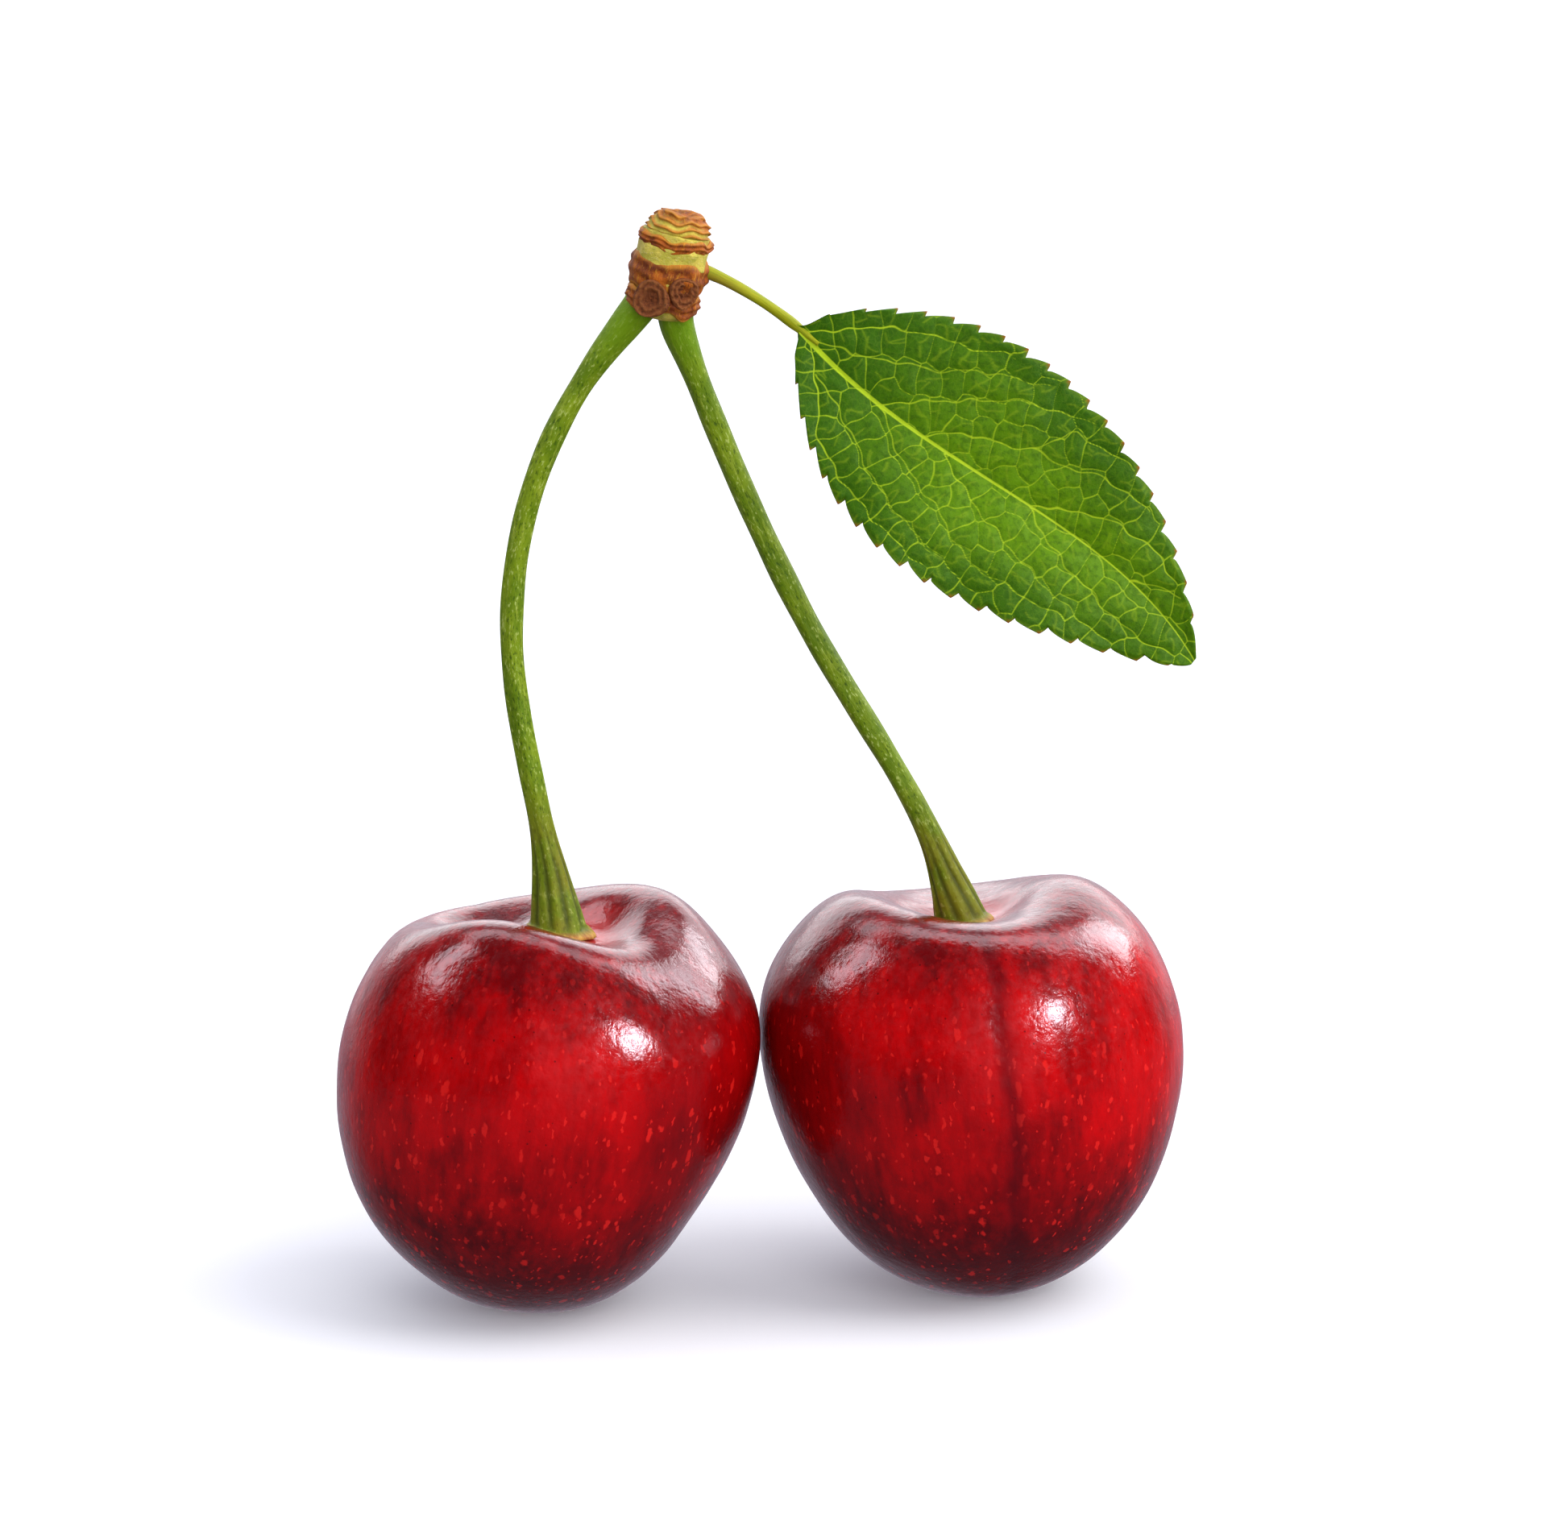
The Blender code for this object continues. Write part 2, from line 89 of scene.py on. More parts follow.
RIGHT_FRUIT = {
    "centre": (11.70, 1.76, 16.6), "lean": -5.3, "nod": -0.7, "width": 26.4,
    "upper": 0.967, "lower": 1.018, "crest": 0.86, "crest_side": -0.21,
    "cheek_right": -0.012, "cheek_left": 0.02, "base_right": 0.011, "base_left": -0.029, "seat": 7.5,
    "rim": ((-115.0, 55.0, 1.45), (50.0, 45.0, 0.35)), "foot": 0.15,
    "seam": 279.0, "seam_depth": 0.13, "offset": 11.7, "painted_shade_cheek": (-5.5, -10.5),
}
LEFT_STALK = {
    "spans": ((-14.3, 27.0), (-15.0, 33.2), (-16.94, 38.4), (-16.69, 44.35),
              (-16.45, 50.5), (-14.43, 56.45), (-9.75, 62.0)),
    "top": (-8.35, 63.75), "y": (-2.1, -0.1),
}
RIGHT_STALK = {
    "spans": ((10.15, 27.0), (8.15, 32.9), (4.11, 37.96), (0.98, 44.18),
              (-2.15, 50.39), (-4.43, 56.28), (-6.62, 62.2)),
    "top": (-6.65, 63.80), "y": (1.75, 0.1),
}
SPUR_FOOT = (-7.6, 0.0, 62.95)
SPUR_LEAN = 13.0
LEAF_STALK_PATH = ((-5.4, 0.1, 65.6), (-3.3, 0.0, 64.9), (-1.1, 0.0, 63.5), (0.95, 0.0, 61.85))
LEAF_BASE = (0.7, 0.0, 62.05)
LEAF_LENGTH = 31.8
LEAF_DROP = 40.0
LEAF_TILT = 13.6


# ---------------------------------------------------------------------------------- settings
def paint(name, description, colour):
    """A colour setting."""
    return bpy.props.FloatVectorProperty(
        name=name, description=description, subtype="COLOR", size=3, min=0, max=1, default=colour
    )


class FruitSettings(bpy.types.PropertyGroup):
    """Sizes and colours of the fruit."""

    rings_per_span: bpy.props.IntProperty(
        name="Rings per span", description="Rings of faces between two outline points", default=13, min=4
    )
    sides: bpy.props.IntProperty(name="Sides", description="Faces round the fruit", default=320, min=24)
    flesh: paint("Flesh", "The brightest red of the skin", (0.58, 0.0006, 0.0014))
    # The skin blends towards this darkest red both in its own darker patches and where shade is painted on
    # it.
    shade: paint("Shade", "The darkest red of the skin", (0.130, 0.0005, 0.0014))
    fleck: paint("Fleck", "The pale dots of the skin", (0.80, 0.014, 0.010))


class StalkSettings(bpy.types.PropertyGroup):
    """Sizes and colours of the two long stalks."""

    radius: bpy.props.FloatProperty(
        name="Radius", description="Half the thickness at the thinnest", default=0.00074, unit="LENGTH"
    )
    top_radius: bpy.props.FloatProperty(
        name="Top radius", description="Half the thickness where the stalk meets the spur", default=0.00124,
        unit="LENGTH",
    )
    foot_radius: bpy.props.FloatProperty(
        name="Foot radius", description="Half the thickness where the stalk meets the fruit", default=0.00190,
        unit="LENGTH",
    )
    rind: paint("Rind", "The green of the stalk", (0.120, 0.205, 0.004))
    fibre: paint("Fibre", "The pale fibres of the stalk", (0.38, 0.46, 0.05))
    ring: paint("Ring", "The rim where the fruit hangs", (0.62, 0.36, 0.07))


class SpurSettings(bpy.types.PropertyGroup):
    """Colours of the woody spur."""

    bark: paint("Bark", "The yellow-green bark", (0.74, 0.60, 0.09))
    scale: paint("Dry scale", "The dry bud scales", (0.46, 0.11, 0.008))
    cork: paint("Cork", "The old stalks' scars", (0.16, 0.045, 0.015))


class LeafSettings(bpy.types.PropertyGroup):
    """Sizes and colours of the leaf."""

    thickness: bpy.props.FloatProperty(
        name="Thickness", description="Thickness of the blade", default=0.00024, unit="LENGTH"
    )
    blade: paint("Blade", "The deep green of the blade", (0.040, 0.128, 0.0008))
    # The middle's lighter green is painted light, as light shining through the blade.
    glow: paint("Glow", "The lighter green of the middle", (0.118, 0.262, 0.0010))
    vein: paint("Vein", "The pale net of veins", (0.44, 0.60, 0.015))
    stem: paint("Leaf stalk", "The leaf's own stalk", (0.36, 0.36, 0.008))


class StageSettings(bpy.types.PropertyGroup):
    """The floor, the lights and the camera."""

    floor_side: bpy.props.FloatProperty(
        name="Floor", description="Length of the floor's side", default=5.0, unit="LENGTH"
    )
    distance: bpy.props.FloatProperty(
        name="Distance", description="From the camera to the fruit", default=0.430, unit="LENGTH"
    )
    elevation: bpy.props.FloatProperty(
        name="Elevation", description="How far the camera looks down", default=math.radians(13.6),
        subtype="ANGLE",
    )
    view_width: bpy.props.FloatProperty(
        name="View width", description="Width seen at the fruit", default=0.0969, unit="LENGTH"
    )


# ------------------------------------------------------------------------------- shared shaping
def smooth_step(value):
    held = np.clip(value, 0.0, 1.0)
    return held * held * (3.0 - 2.0 * held)


def bell(value, middle, width):
    return np.exp(-(((value - middle) / width) ** 2))


def soft_part(value, softness=0.35):
    """The positive part of a value, with no corner at zero."""
    return (value + np.sqrt(value * value + softness * softness)) / 2.0


def rotation(degrees, axis):
    return np.array(Matrix.Rotation(math.radians(degrees), 3, axis))


def set_down(points):
    """Points of the plan, in millimetres, as world places in metres."""
    return (points + SHIFT) * MM


def points_of(piece):
    found = np.empty(len(piece.data.vertices) * 3)
    piece.data.vertices.foreach_get("co", found)
    return found.reshape(-1, 3)


def move_points(piece, points):
    piece.data.vertices.foreach_set("co", points.astype(np.float32).ravel())
    piece.data.update()


def keep_value(piece, name, values):
    """Store a number or a vector per vertex, for the material to read."""
    kind = "FLOAT_VECTOR" if values.ndim == 2 else "FLOAT"
    layer = piece.data.attributes.new(name, kind, "POINT")
    layer.data.foreach_set("vector" if values.ndim == 2 else "value", values.astype(np.float32).ravel())


def only(piece):
    bpy.ops.object.select_all(action="DESELECT")
    piece.select_set(True)
    bpy.context.view_layer.objects.active = piece


def wobble(points, size, seed):
    """A slow, smooth unevenness of about one unit, from a few crossing waves."""
    dice = np.random.default_rng(seed)
    total = np.zeros(len(points))
    for _ in range(7):
        way = dice.normal(size=3)
        way /= np.linalg.norm(way)
        total += np.sin(points @ way * (math.tau / size) * dice.uniform(0.7, 1.6) + dice.uniform(0, math.tau))
    return total / 3.0


def curve_through(points, steps):
    """A smooth curve through all the points but the first and last, which only set its direction there."""
    found = []
    for a, b, c, d in zip(points, points[1:], points[2:], points[3:]):
        square, cube = 2 * a - 5 * b + 4 * c - d, 3 * b - a - 3 * c + d
        for t in np.arange(steps) / steps:
            found.append(0.5 * (2 * b + (c - a) * t + square * t**2 + cube * t**3))
    found.append(points[-2])
    return np.array(found)


def turn_outline(name, outline, sides):
    """Spin an outline of (radius, height) points, in millimetres, about the z axis into a closed piece."""
    data = bpy.data.meshes.new(name)
    points = [(radius, 0.0, height) for radius, height in outline]
    data.from_pydata(points, [(at, at + 1) for at in range(len(points) - 1)], [])
    piece = bpy.data.objects.new(name, data)
    bpy.context.collection.objects.link(piece)
    only(piece)
    bpy.ops.object.mode_set(mode="EDIT")
    bpy.ops.mesh.select_all(action="SELECT")
    bpy.ops.mesh.spin(steps=sides, angle=math.tau, center=(0, 0, 0), axis=(0, 0, 1), use_auto_merge=True)
    bpy.ops.mesh.select_all(action="SELECT")
    bpy.ops.mesh.remove_doubles(threshold=0.0001)
    bpy.ops.mesh.normals_make_consistent(inside=False)
    bpy.ops.object.mode_set(mode="OBJECT")
    return piece


def complete(piece, surface, nodes):
    """Give a piece smooth shading and its material, hang it on the body and hide the solids it stands for."""
    piece.data.shade_smooth()
    piece.data.materials.clear()
    piece.data.materials.append(surface)
    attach(piece, BODY)
    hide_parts(*nodes)


# ---------------------------------------------------------------------------- shared materials
class Shader:
    """A material's nodes, added one after another and joined as they are made."""

    def __init__(self, name):
        self.material = bpy.data.materials.new(name)
        self.material.use_nodes = True
        self.tree = self.material.node_tree
        self.surface = self.tree.nodes["Principled BSDF"]

    def add(self, kind, settings=(), **inputs):
        made = self.tree.nodes.new(kind)
        for name, value in dict(settings).items():
            setattr(made, name, value)
        for name, value in inputs.items():
            self.feed(made.inputs[name.replace("_", " ")], value)
        return made

    def feed(self, socket, value):
        if isinstance(value, bpy.types.NodeSocket):
            self.tree.links.new(value, socket)
        elif isinstance(value, (tuple, list)) and len(value) == 3 and socket.type == "RGBA":
            socket.default_value = (*value, 1.0)
        else:
            socket.default_value = value

    def value_of(self, name):
        return self.add("ShaderNodeAttribute", {"attribute_name": name}).outputs["Fac"]

    def vector_of(self, name):
        return self.add("ShaderNodeAttribute", {"attribute_name": name}).outputs["Vector"]

    def scaled(self, vector, factors):
        made = self.add("ShaderNodeMapping", {"vector_type": "POINT"}, Vector=vector)
        made.inputs["Scale"].default_value = factors
        return made.outputs["Vector"]

    def noise(self, vector, scale, detail=3.0, roughness=0.5):
        return self.add(
            "ShaderNodeTexNoise", Vector=vector, Scale=scale, Detail=detail, Roughness=roughness
        ).outputs["Fac"]

    def cells(self, vector, scale, feature="F1"):
        return self.add(
            "ShaderNodeTexVoronoi", {"feature": feature}, Vector=vector, Scale=scale
        )

    def math(self, operation, first, second=0.5, clamp=False):
        made = self.add("ShaderNodeMath", {"operation": operation, "use_clamp": clamp})
        self.feed(made.inputs[0], first)
        self.feed(made.inputs[1], second)
        return made.outputs[0]

    def between(self, value, low, high, start=0.0, end=1.0):
        """Fade from start to end as a value goes from low to high."""
        made = self.add("ShaderNodeMapRange", {"interpolation_type": "SMOOTHSTEP"}, Value=value)
        for name, number in (("From Min", low), ("From Max", high), ("To Min", start), ("To Max", end)):
            made.inputs[name].default_value = number
        return made.outputs["Result"]

    def blend(self, share, first, second):
        made = self.add("ShaderNodeMix", {"data_type": "RGBA"})
        self.feed(made.inputs["Factor"], share)
        self.feed(made.inputs[6], first)
        self.feed(made.inputs[7], second)
        return made.outputs[2]

    def parts(self, vector):
        return self.add("ShaderNodeSeparateXYZ", Vector=vector).outputs

    def bump(self, height, distance, strength):
        made = self.add("ShaderNodeBump", Height=height, Distance=distance, Strength=strength)
        return made.outputs["Normal"]

    def set(self, **inputs):
        for name, value in inputs.items():
            self.feed(self.surface.inputs[name.replace("_", " ")], value)
        return self.material


# ----------------------------------------------------------------------------------- the fruit
def fine_outline(steps, rounds=24):
    """Close points along the fruit's outline, eased so that its curve has no kinks."""
    points = np.array(FRUIT_OUTLINE)
    line = curve_through(np.vstack([points[1] * (-1, 1), points, points[-2] * (-1, 1)]), steps)
    for _ in range(rounds):
        eased = line.copy()
        eased[1:-1] = (line[:-2] + 2 * line[1:-1] + line[2:]) / 4
        eased[0, 1] = (line[0, 1] + line[1, 1]) / 2
        eased[-1, 1] = (line[-1, 1] + line[-2, 1]) / 2
        line = eased
    line[0, 0] = 0.0
    line[-1, 0] = 0.0
    return line


def seam_wander(height):
    """How far the seam strays sideways at each height."""
    return 0.16 * np.sin(height * 0.55) + 0.08 * np.sin(height * 1.7 + 1.0)


def shape_fruit(points, form):
    """Turn a plain turned fruit into this one: leaning cheeks, raised shoulders, a seam and a hollow."""
    radius = np.hypot(points[:, 0], points[:, 1])
    height = points[:, 2]
    angle = np.arctan2(points[:, 1], points[:, 0])
    across = np.cos(angle)
    right = soft_part(across) ** 1.5
    left = soft_part(-across) ** 1.5
    low_band = bell(height, -9.0, 5.5)
    high_band = bell(height, 5.5, 4.0) * smooth_step((radius - 6.0) / 5.0)
    swell = 1.0 + low_band * (form["base_right"] * right + form["base_left"] * left)
    swell += low_band * BASE_FULLNESS * np.sin(angle) ** 2
    swell += high_band * (form["cheek_right"] * right + form["cheek_left"] * left)
    shoulder = smooth_step(height / 6.0) * smooth_step((radius - 1.5) / 3.5)
    crest = bell(radius, CREST_RADIUS, CREST_WIDTH) * shoulder
    hollow = smooth_step(1.0 - radius / CREST_RADIUS) * (height > 0.0)
    share = smooth_step((height + 2.0) / 4.0)
    up = height * (form["upper"] * share + form["lower"] * (1.0 - share))
    up += crest * (form["crest"] * np.cos(2.0 * angle) + form["crest_side"] * across)
    for bearing, width, rise in form["rim"]:
        turned = (np.degrees(angle) - bearing + 180.0) % 360.0 - 180.0
        up += bell(radius, RIM_RADIUS, RIM_WIDTH) * shoulder * rise * bell(turned, 0.0, width)
    up += hollow * (form["seat"] - OUTLINE_SEAT * form["upper"])
    out = radius * swell * form["width"] / OUTLINE_WIDTH
    seam = np.radians(form["seam"])
    off = radius * np.sin(angle - seam)
    facing = smooth_step((np.cos(angle - seam) - 0.2) / 0.5)
    off = off + seam_wander(height)
    groove = bell(off, 0.0, 0.75) + 0.9 * bell(off, 0.0, 2.6)
    fade = smooth_step((height + 16.0) / 3.0) * smooth_step(radius / 3.0)
    out = out - form["seam_depth"] * groove * facing * fade
    shaped = np.stack([out * across, out * np.sin(angle) * FRUIT_DEPTH, up], axis=1)
    rough = wobble(points + form["offset"], 9.0, int(form["offset"] * 10)) * 0.045
    rough += wobble(points - form["offset"], 3.2, int(form["offset"] * 7)) * 0.010
    shaped *= (1.0 + rough / (OUTLINE_WIDTH / 2))[:, None]
    turn = rotation(form["nod"], "X") @ rotation(form["lean"], "Y")
    placed = set_down(shaped @ turn.T + np.array(form["centre"]))
    placed[:, 2] = np.maximum(placed[:, 2], 0.0)
    return placed


def fruit_skin(settings, name, form):
    """Glossy red skin: streaks along the fruit, pale dots, darker mottling below that is partly painted
    shade, and a fine grain, with painted shade at the top, the bottom and the cheek facing the other fruit.
    """
    skin = Shader(name)
    raw = skin.vector_of("skin")
    seed = skin.add("ShaderNodeVectorMath", {"operation": "ADD"})
    skin.feed(seed.inputs[0], raw)
    seed.inputs[1].default_value = (form["offset"], 2 * form["offset"], 0.0)
    place = seed.outputs["Vector"]
    x, _, z = skin.parts(raw)
    stretched = skin.scaled(place, (1.0, 1.0, 0.2))
    half = skin.scaled(place, (1.0, 1.0, 0.45))

    clouds = skin.noise(place, 0.15, 2.0)
    mottle = skin.noise(half, 0.5, 4.0, 0.6)
    streaks = skin.noise(stretched, 1.5, 4.0, 0.62)
    # Painted light and shade: the skin is painted brightest in the middle and darker towards the top and the
    # bottom.
    middle = skin.math("MULTIPLY", skin.between(z, -13.0, -2.5), skin.between(z, 3.5, 9.5, 1.0, 0.20))
    glow = skin.math("MULTIPLY", middle, skin.between(clouds, 0.30, 0.62, 0.55, 1.0))
    glow = skin.math("SUBTRACT", glow, skin.between(mottle, 0.42, 0.70, 0.0, 0.34))
    glow = skin.math("ADD", glow, skin.between(streaks, 0.36, 0.68, -0.10, 0.14), clamp=True)
    # Painted shade: the cheek that faces the other fruit is painted darker.
    glow = skin.math("MULTIPLY", glow, skin.between(x, *form["painted_shade_cheek"], 1.0, 0.45))
    colour = skin.blend(glow, settings.shade[:], settings.flesh[:])

    # Dark patches, strongest towards the bottom: partly the skin's own mottling, partly painted shade under
    # the fruit.
    low = skin.between(z, -15.0, -1.0, 1.0, 0.15)
    patches = skin.between(skin.noise(place, 0.8, 5.0, 0.68), 0.48, 0.66, 0.0, 0.6)
    colour = skin.blend(skin.math("MULTIPLY", low, patches), colour, (0.070, 0.0008, 0.002))

    bent = skin.add("ShaderNodeVectorMath", {"operation": "ADD"})
    skin.feed(bent.inputs[0], half)
    wave = skin.add("ShaderNodeTexNoise", Vector=place, Scale=1.6, Detail=2.0)
    skin.feed(bent.inputs[1], skin.scaled(wave.outputs["Color"], (0.55, 0.55, 0.55)))
    cloudy = skin.between(clouds, 0.34, 0.55, 0.5, 1.0)
    shown = skin.math("MULTIPLY", skin.between(z, 0.0, 8.5, 1.0, 0.22), cloudy)
    specks = None
    for scale, reach, least in ((1.1, 0.27, 0.25), (1.7, 0.30, 0.30), (2.9, 0.32, 0.40)):
        dots = skin.cells(bent.outputs["Vector"], scale)
        chance = skin.parts(dots.outputs["Color"])[0]
        size = skin.between(chance, least, 1.0, 0.0, reach)
        edge = skin.math("SUBTRACT", size, skin.math("MULTIPLY", dots.outputs["Distance"], 1.0))
        mark = skin.between(edge, -0.03, 0.10)
        specks = mark if specks is None else skin.math("MAXIMUM", specks, mark)
    specks = skin.math("MULTIPLY", specks, shown)
    colour = skin.blend(skin.math("MULTIPLY", specks, 0.85), colour, settings.fleck[:])
    grit = skin.cells(place, 1.5)
    grit_on = skin.between(skin.parts(grit.outputs["Color"])[1], 0.62, 0.66)
    grit_dots = skin.math("MULTIPLY", grit_on, skin.between(grit.outputs["Distance"], 0.05, 0.13, 0.7, 0.0))
    colour = skin.blend(grit_dots, colour, (0.025, 0.0008, 0.001))

    seam = skin.value_of("seam")
    colour = skin.blend(skin.math("MULTIPLY", seam, 0.62), colour, (0.075, 0.0008, 0.003))
    hollow = skin.value_of("hollow")
    colour = skin.blend(skin.math("MULTIPLY", hollow, 0.8), colour, (0.66, 0.05, 0.045))

    peel = skin.noise(place, 2.3, 3.0, 0.55)
    grain = skin.noise(place, 6.5, 2.0, 0.6)
    ripple = skin.noise(place, 0.7, 2.0, 0.5)
    height = skin.math("ADD", skin.math("MULTIPLY", grain, 0.18), skin.math("MULTIPLY", ripple, 0.75))
    height = skin.math("ADD", height, skin.math("MULTIPLY", peel, 0.8))
    normal = skin.bump(height, 0.00006, 0.6)
    gloss = skin.between(peel, 0.35, 0.65, 0.14, 0.22)
    return skin.set(
        Base_Color=colour, Roughness=gloss, Normal=normal, IOR=1.5, Specular_Tint=(0.95, 0.88, 1.0),
        Subsurface_Weight=0.08, Subsurface_Scale=0.001, Subsurface_Radius=(1.0, 0.06, 0.04),
    )


def make_fruit(name, form, nodes):
    settings = bpy.context.scene.cherry_fruit
    piece = turn_outline(name, fine_outline(settings.rings_per_span), settings.sides)
    points = points_of(piece)
    radius = np.hypot(points[:, 0], points[:, 1])
    angle = np.arctan2(points[:, 1], points[:, 0])
    seam = np.radians(form["seam"])
    off = radius * np.sin(angle - seam)
    facing = (np.cos(angle - seam) > 0.0) * smooth_step(radius / 4.0)
    keep_value(piece, "skin", points)
    off = off + seam_wander(points[:, 2])
    keep_value(piece, "seam", bell(off, 0.0, 0.62) * facing)
    keep_value(piece, "hollow", (points[:, 2] > 0) * smooth_step((5.0 - radius) / 4.2))
    move_points(piece, shape_fruit(points, form))
    complete(piece, fruit_skin(settings, name, form), nodes)


# ---------------------------------------------------------------------------------- the stalks
STALK_SIDES = 96
STALK_RINGS = 420
FOOT_FLARE = 9.2  # how far up the stalk its foot still widens it
FOOT_FLARE_POWER = 2.15
TOP_FLARE = 7.0
TOP_FLARE_POWER = 1.6


def bezier(points, t):
    a, b, c, d = (np.array(point, float) for point in points)
    left = 1.0 - t
    return a * left**3 + b * 3 * left**2 * t + c * 3 * left * t**2 + d * t**3


def even_line(line, count):
    """The same path through evenly spaced points, with the length walked to each."""
    steps = np.concatenate([[0.0], np.cumsum(np.linalg.norm(np.diff(line, axis=0), axis=1))])
    at = np.linspace(0.0, steps[-1], count)
    return np.stack([np.interp(at, steps, line[:, axis]) for axis in range(3)], axis=1), at


def ease(line, rounds):
    for _ in range(rounds):
        line[1:-1] = (line[:-2] + 2 * line[1:-1] + line[2:]) / 4
    return line


def stalk_line(form, fruit, count):
    turn = rotation(fruit["nod"], "X") @ rotation(fruit["lean"], "Y")
    seat = np.array(fruit["centre"]) + turn @ np.array((fruit["foot"], 0.0, fruit["seat"] - 0.2))
    flat = [bezier(form["spans"][span : span + 4], step / 40) for span in (0, 3) for step in range(40)]
    flat = np.array([*flat, form["spans"][-1], form["top"]])
    near, far = form["y"]
    share = (flat[:, 1] - flat[0, 1]) / (flat[-1, 1] - flat[0, 1])
    path = np.stack([flat[:, 0], near + (far - near) * share, flat[:, 1]], axis=1)
    rise = np.array([seat + (path[0] - seat) * part for part in np.linspace(0.0, 0.97, 14)])
    line, walked = even_line(np.vstack([rise, path]), count)
    return ease(line, 60), walked, turn @ np.array((0.0, 0.0, 1.0))


def along_path(points, line, first_axis=None, last_axis=None, blend=3.0):
    """Carry a straight rod, whose height runs from 0 to 1, onto a path."""
    count = len(line)
    tangent = np.gradient(line, axis=0)
    tangent /= np.linalg.norm(tangent, axis=1)[:, None]
    step = np.linalg.norm(line[1] - line[0])
    walked = np.arange(count) * step
    if first_axis is not None:
        share = smooth_step(1.0 - walked / blend)[:, None]
        tangent = tangent * (1 - share) + first_axis * share
    if last_axis is not None:
        share = smooth_step(1.0 - (walked[-1] - walked) / blend)[:, None]
        tangent = tangent * (1 - share) + last_axis * share
    tangent /= np.linalg.norm(tangent, axis=1)[:, None]
    side = np.cross(np.array((0.0, 1.0, 0.0)), tangent)
    side /= np.linalg.norm(side, axis=1)[:, None]
    front = np.cross(tangent, side)
    at = np.clip(points[:, 2], 0.0, 1.0) * (count - 1)
    low = np.minimum(at.astype(int), count - 2)
    part = (at - low)[:, None]

    def pick(values):
        return values[low] * (1 - part) + values[low + 1] * part

    return pick(line) + pick(side) * points[:, :1] + pick(front) * points[:, 1:2]


def rod(name, sides, rings):
    """A straight rod of radius one, from height 0 to 1, closed at both ends."""
    cap = [(share, 0.0) for share in (0.0, 0.35, 0.7, 0.92)]
    wall = [(1.0, height) for height in np.linspace(0.0, 1.0, rings)]
    top = [(share, 1.0) for share in (0.92, 0.7, 0.35, 0.0)]
    return turn_outline(name, cap + wall + top, sides)


def stalk_rind(settings, name, seed):
    """Green rind with pale fibres, browner towards the fruit, painted shade in the flutes near the foot, and
    a pale rim at the very foot.
    """
    rind = Shader(name)
    flow = rind.vector_of("flow")
    along = rind.parts(flow)[1]
    seeded = rind.add("ShaderNodeVectorMath", {"operation": "ADD"})
    rind.feed(seeded.inputs[0], flow)
    seeded.inputs[1].default_value = (seed, seed, 0.0)
    place = seeded.outputs["Vector"]
    fibres = rind.noise(rind.scaled(place, (4.5, 0.5, 1.0)), 1.0, 5.0, 0.65)
    flecks = rind.noise(rind.scaled(place, (3.0, 1.1, 1.0)), 2.2, 3.0, 0.6)
    patches = rind.noise(rind.scaled(place, (0.6, 0.35, 1.0)), 1.0, 3.0, 0.55)
    colour = rind.blend(rind.between(patches, 0.38, 0.64), settings.rind[:], (0.200, 0.290, 0.008))
    colour = rind.blend(rind.between(fibres, 0.52, 0.74, 0.0, 0.75), colour, settings.fibre[:])
    colour = rind.blend(rind.between(flecks, 0.57, 0.68, 0.0, 0.7), colour, (0.50, 0.58, 0.14))
    colour = rind.blend(rind.between(flecks, 0.32, 0.45, 0.75, 0.0), colour, (0.030, 0.070, 0.003))
    near_foot = rind.between(along, 4.0, 11.0, 0.7, 0.0)
    tan = rind.math("MULTIPLY", near_foot, rind.between(patches, 0.35, 0.6, 0.3, 1.0))
    colour = rind.blend(tan, colour, (0.19, 0.155, 0.010))
    tip = rind.between(rind.value_of("from_top"), 1.0, 6.5, 0.75, 0.0)
    colour = rind.blend(tip, colour, (0.160, 0.31, 0.005))
    # Painted shade: the flutes near the foot are painted dark green, as shade sitting in them.
    groove = rind.value_of("groove")
    colour = rind.blend(rind.math("MULTIPLY", groove, 0.7), colour, (0.028, 0.035, 0.005))
    rim = rind.value_of("rim")
    ring = rind.blend(rind.between(fibres, 0.4, 0.62), settings.ring[:], (0.35, 0.10, 0.03))
    colour = rind.blend(rim, colour, ring)
    height = rind.math("ADD", rind.math("MULTIPLY", fibres, 1.0), rind.math("MULTIPLY", flecks, 0.6))
    normal = rind.bump(height, 0.00009, 0.8)
    gloss = rind.between(fibres, 0.35, 0.7, 0.38, 0.56)
    return rind.set(
        Base_Color=colour, Roughness=gloss, Normal=normal, IOR=1.45, Specular_IOR_Level=0.12,
        Sheen_Weight=0.3,
        Sheen_Roughness=0.4, Sheen_Tint=(0.60, 0.80, 0.12), Subsurface_Weight=0.05, Subsurface_Scale=0.0006,
    )


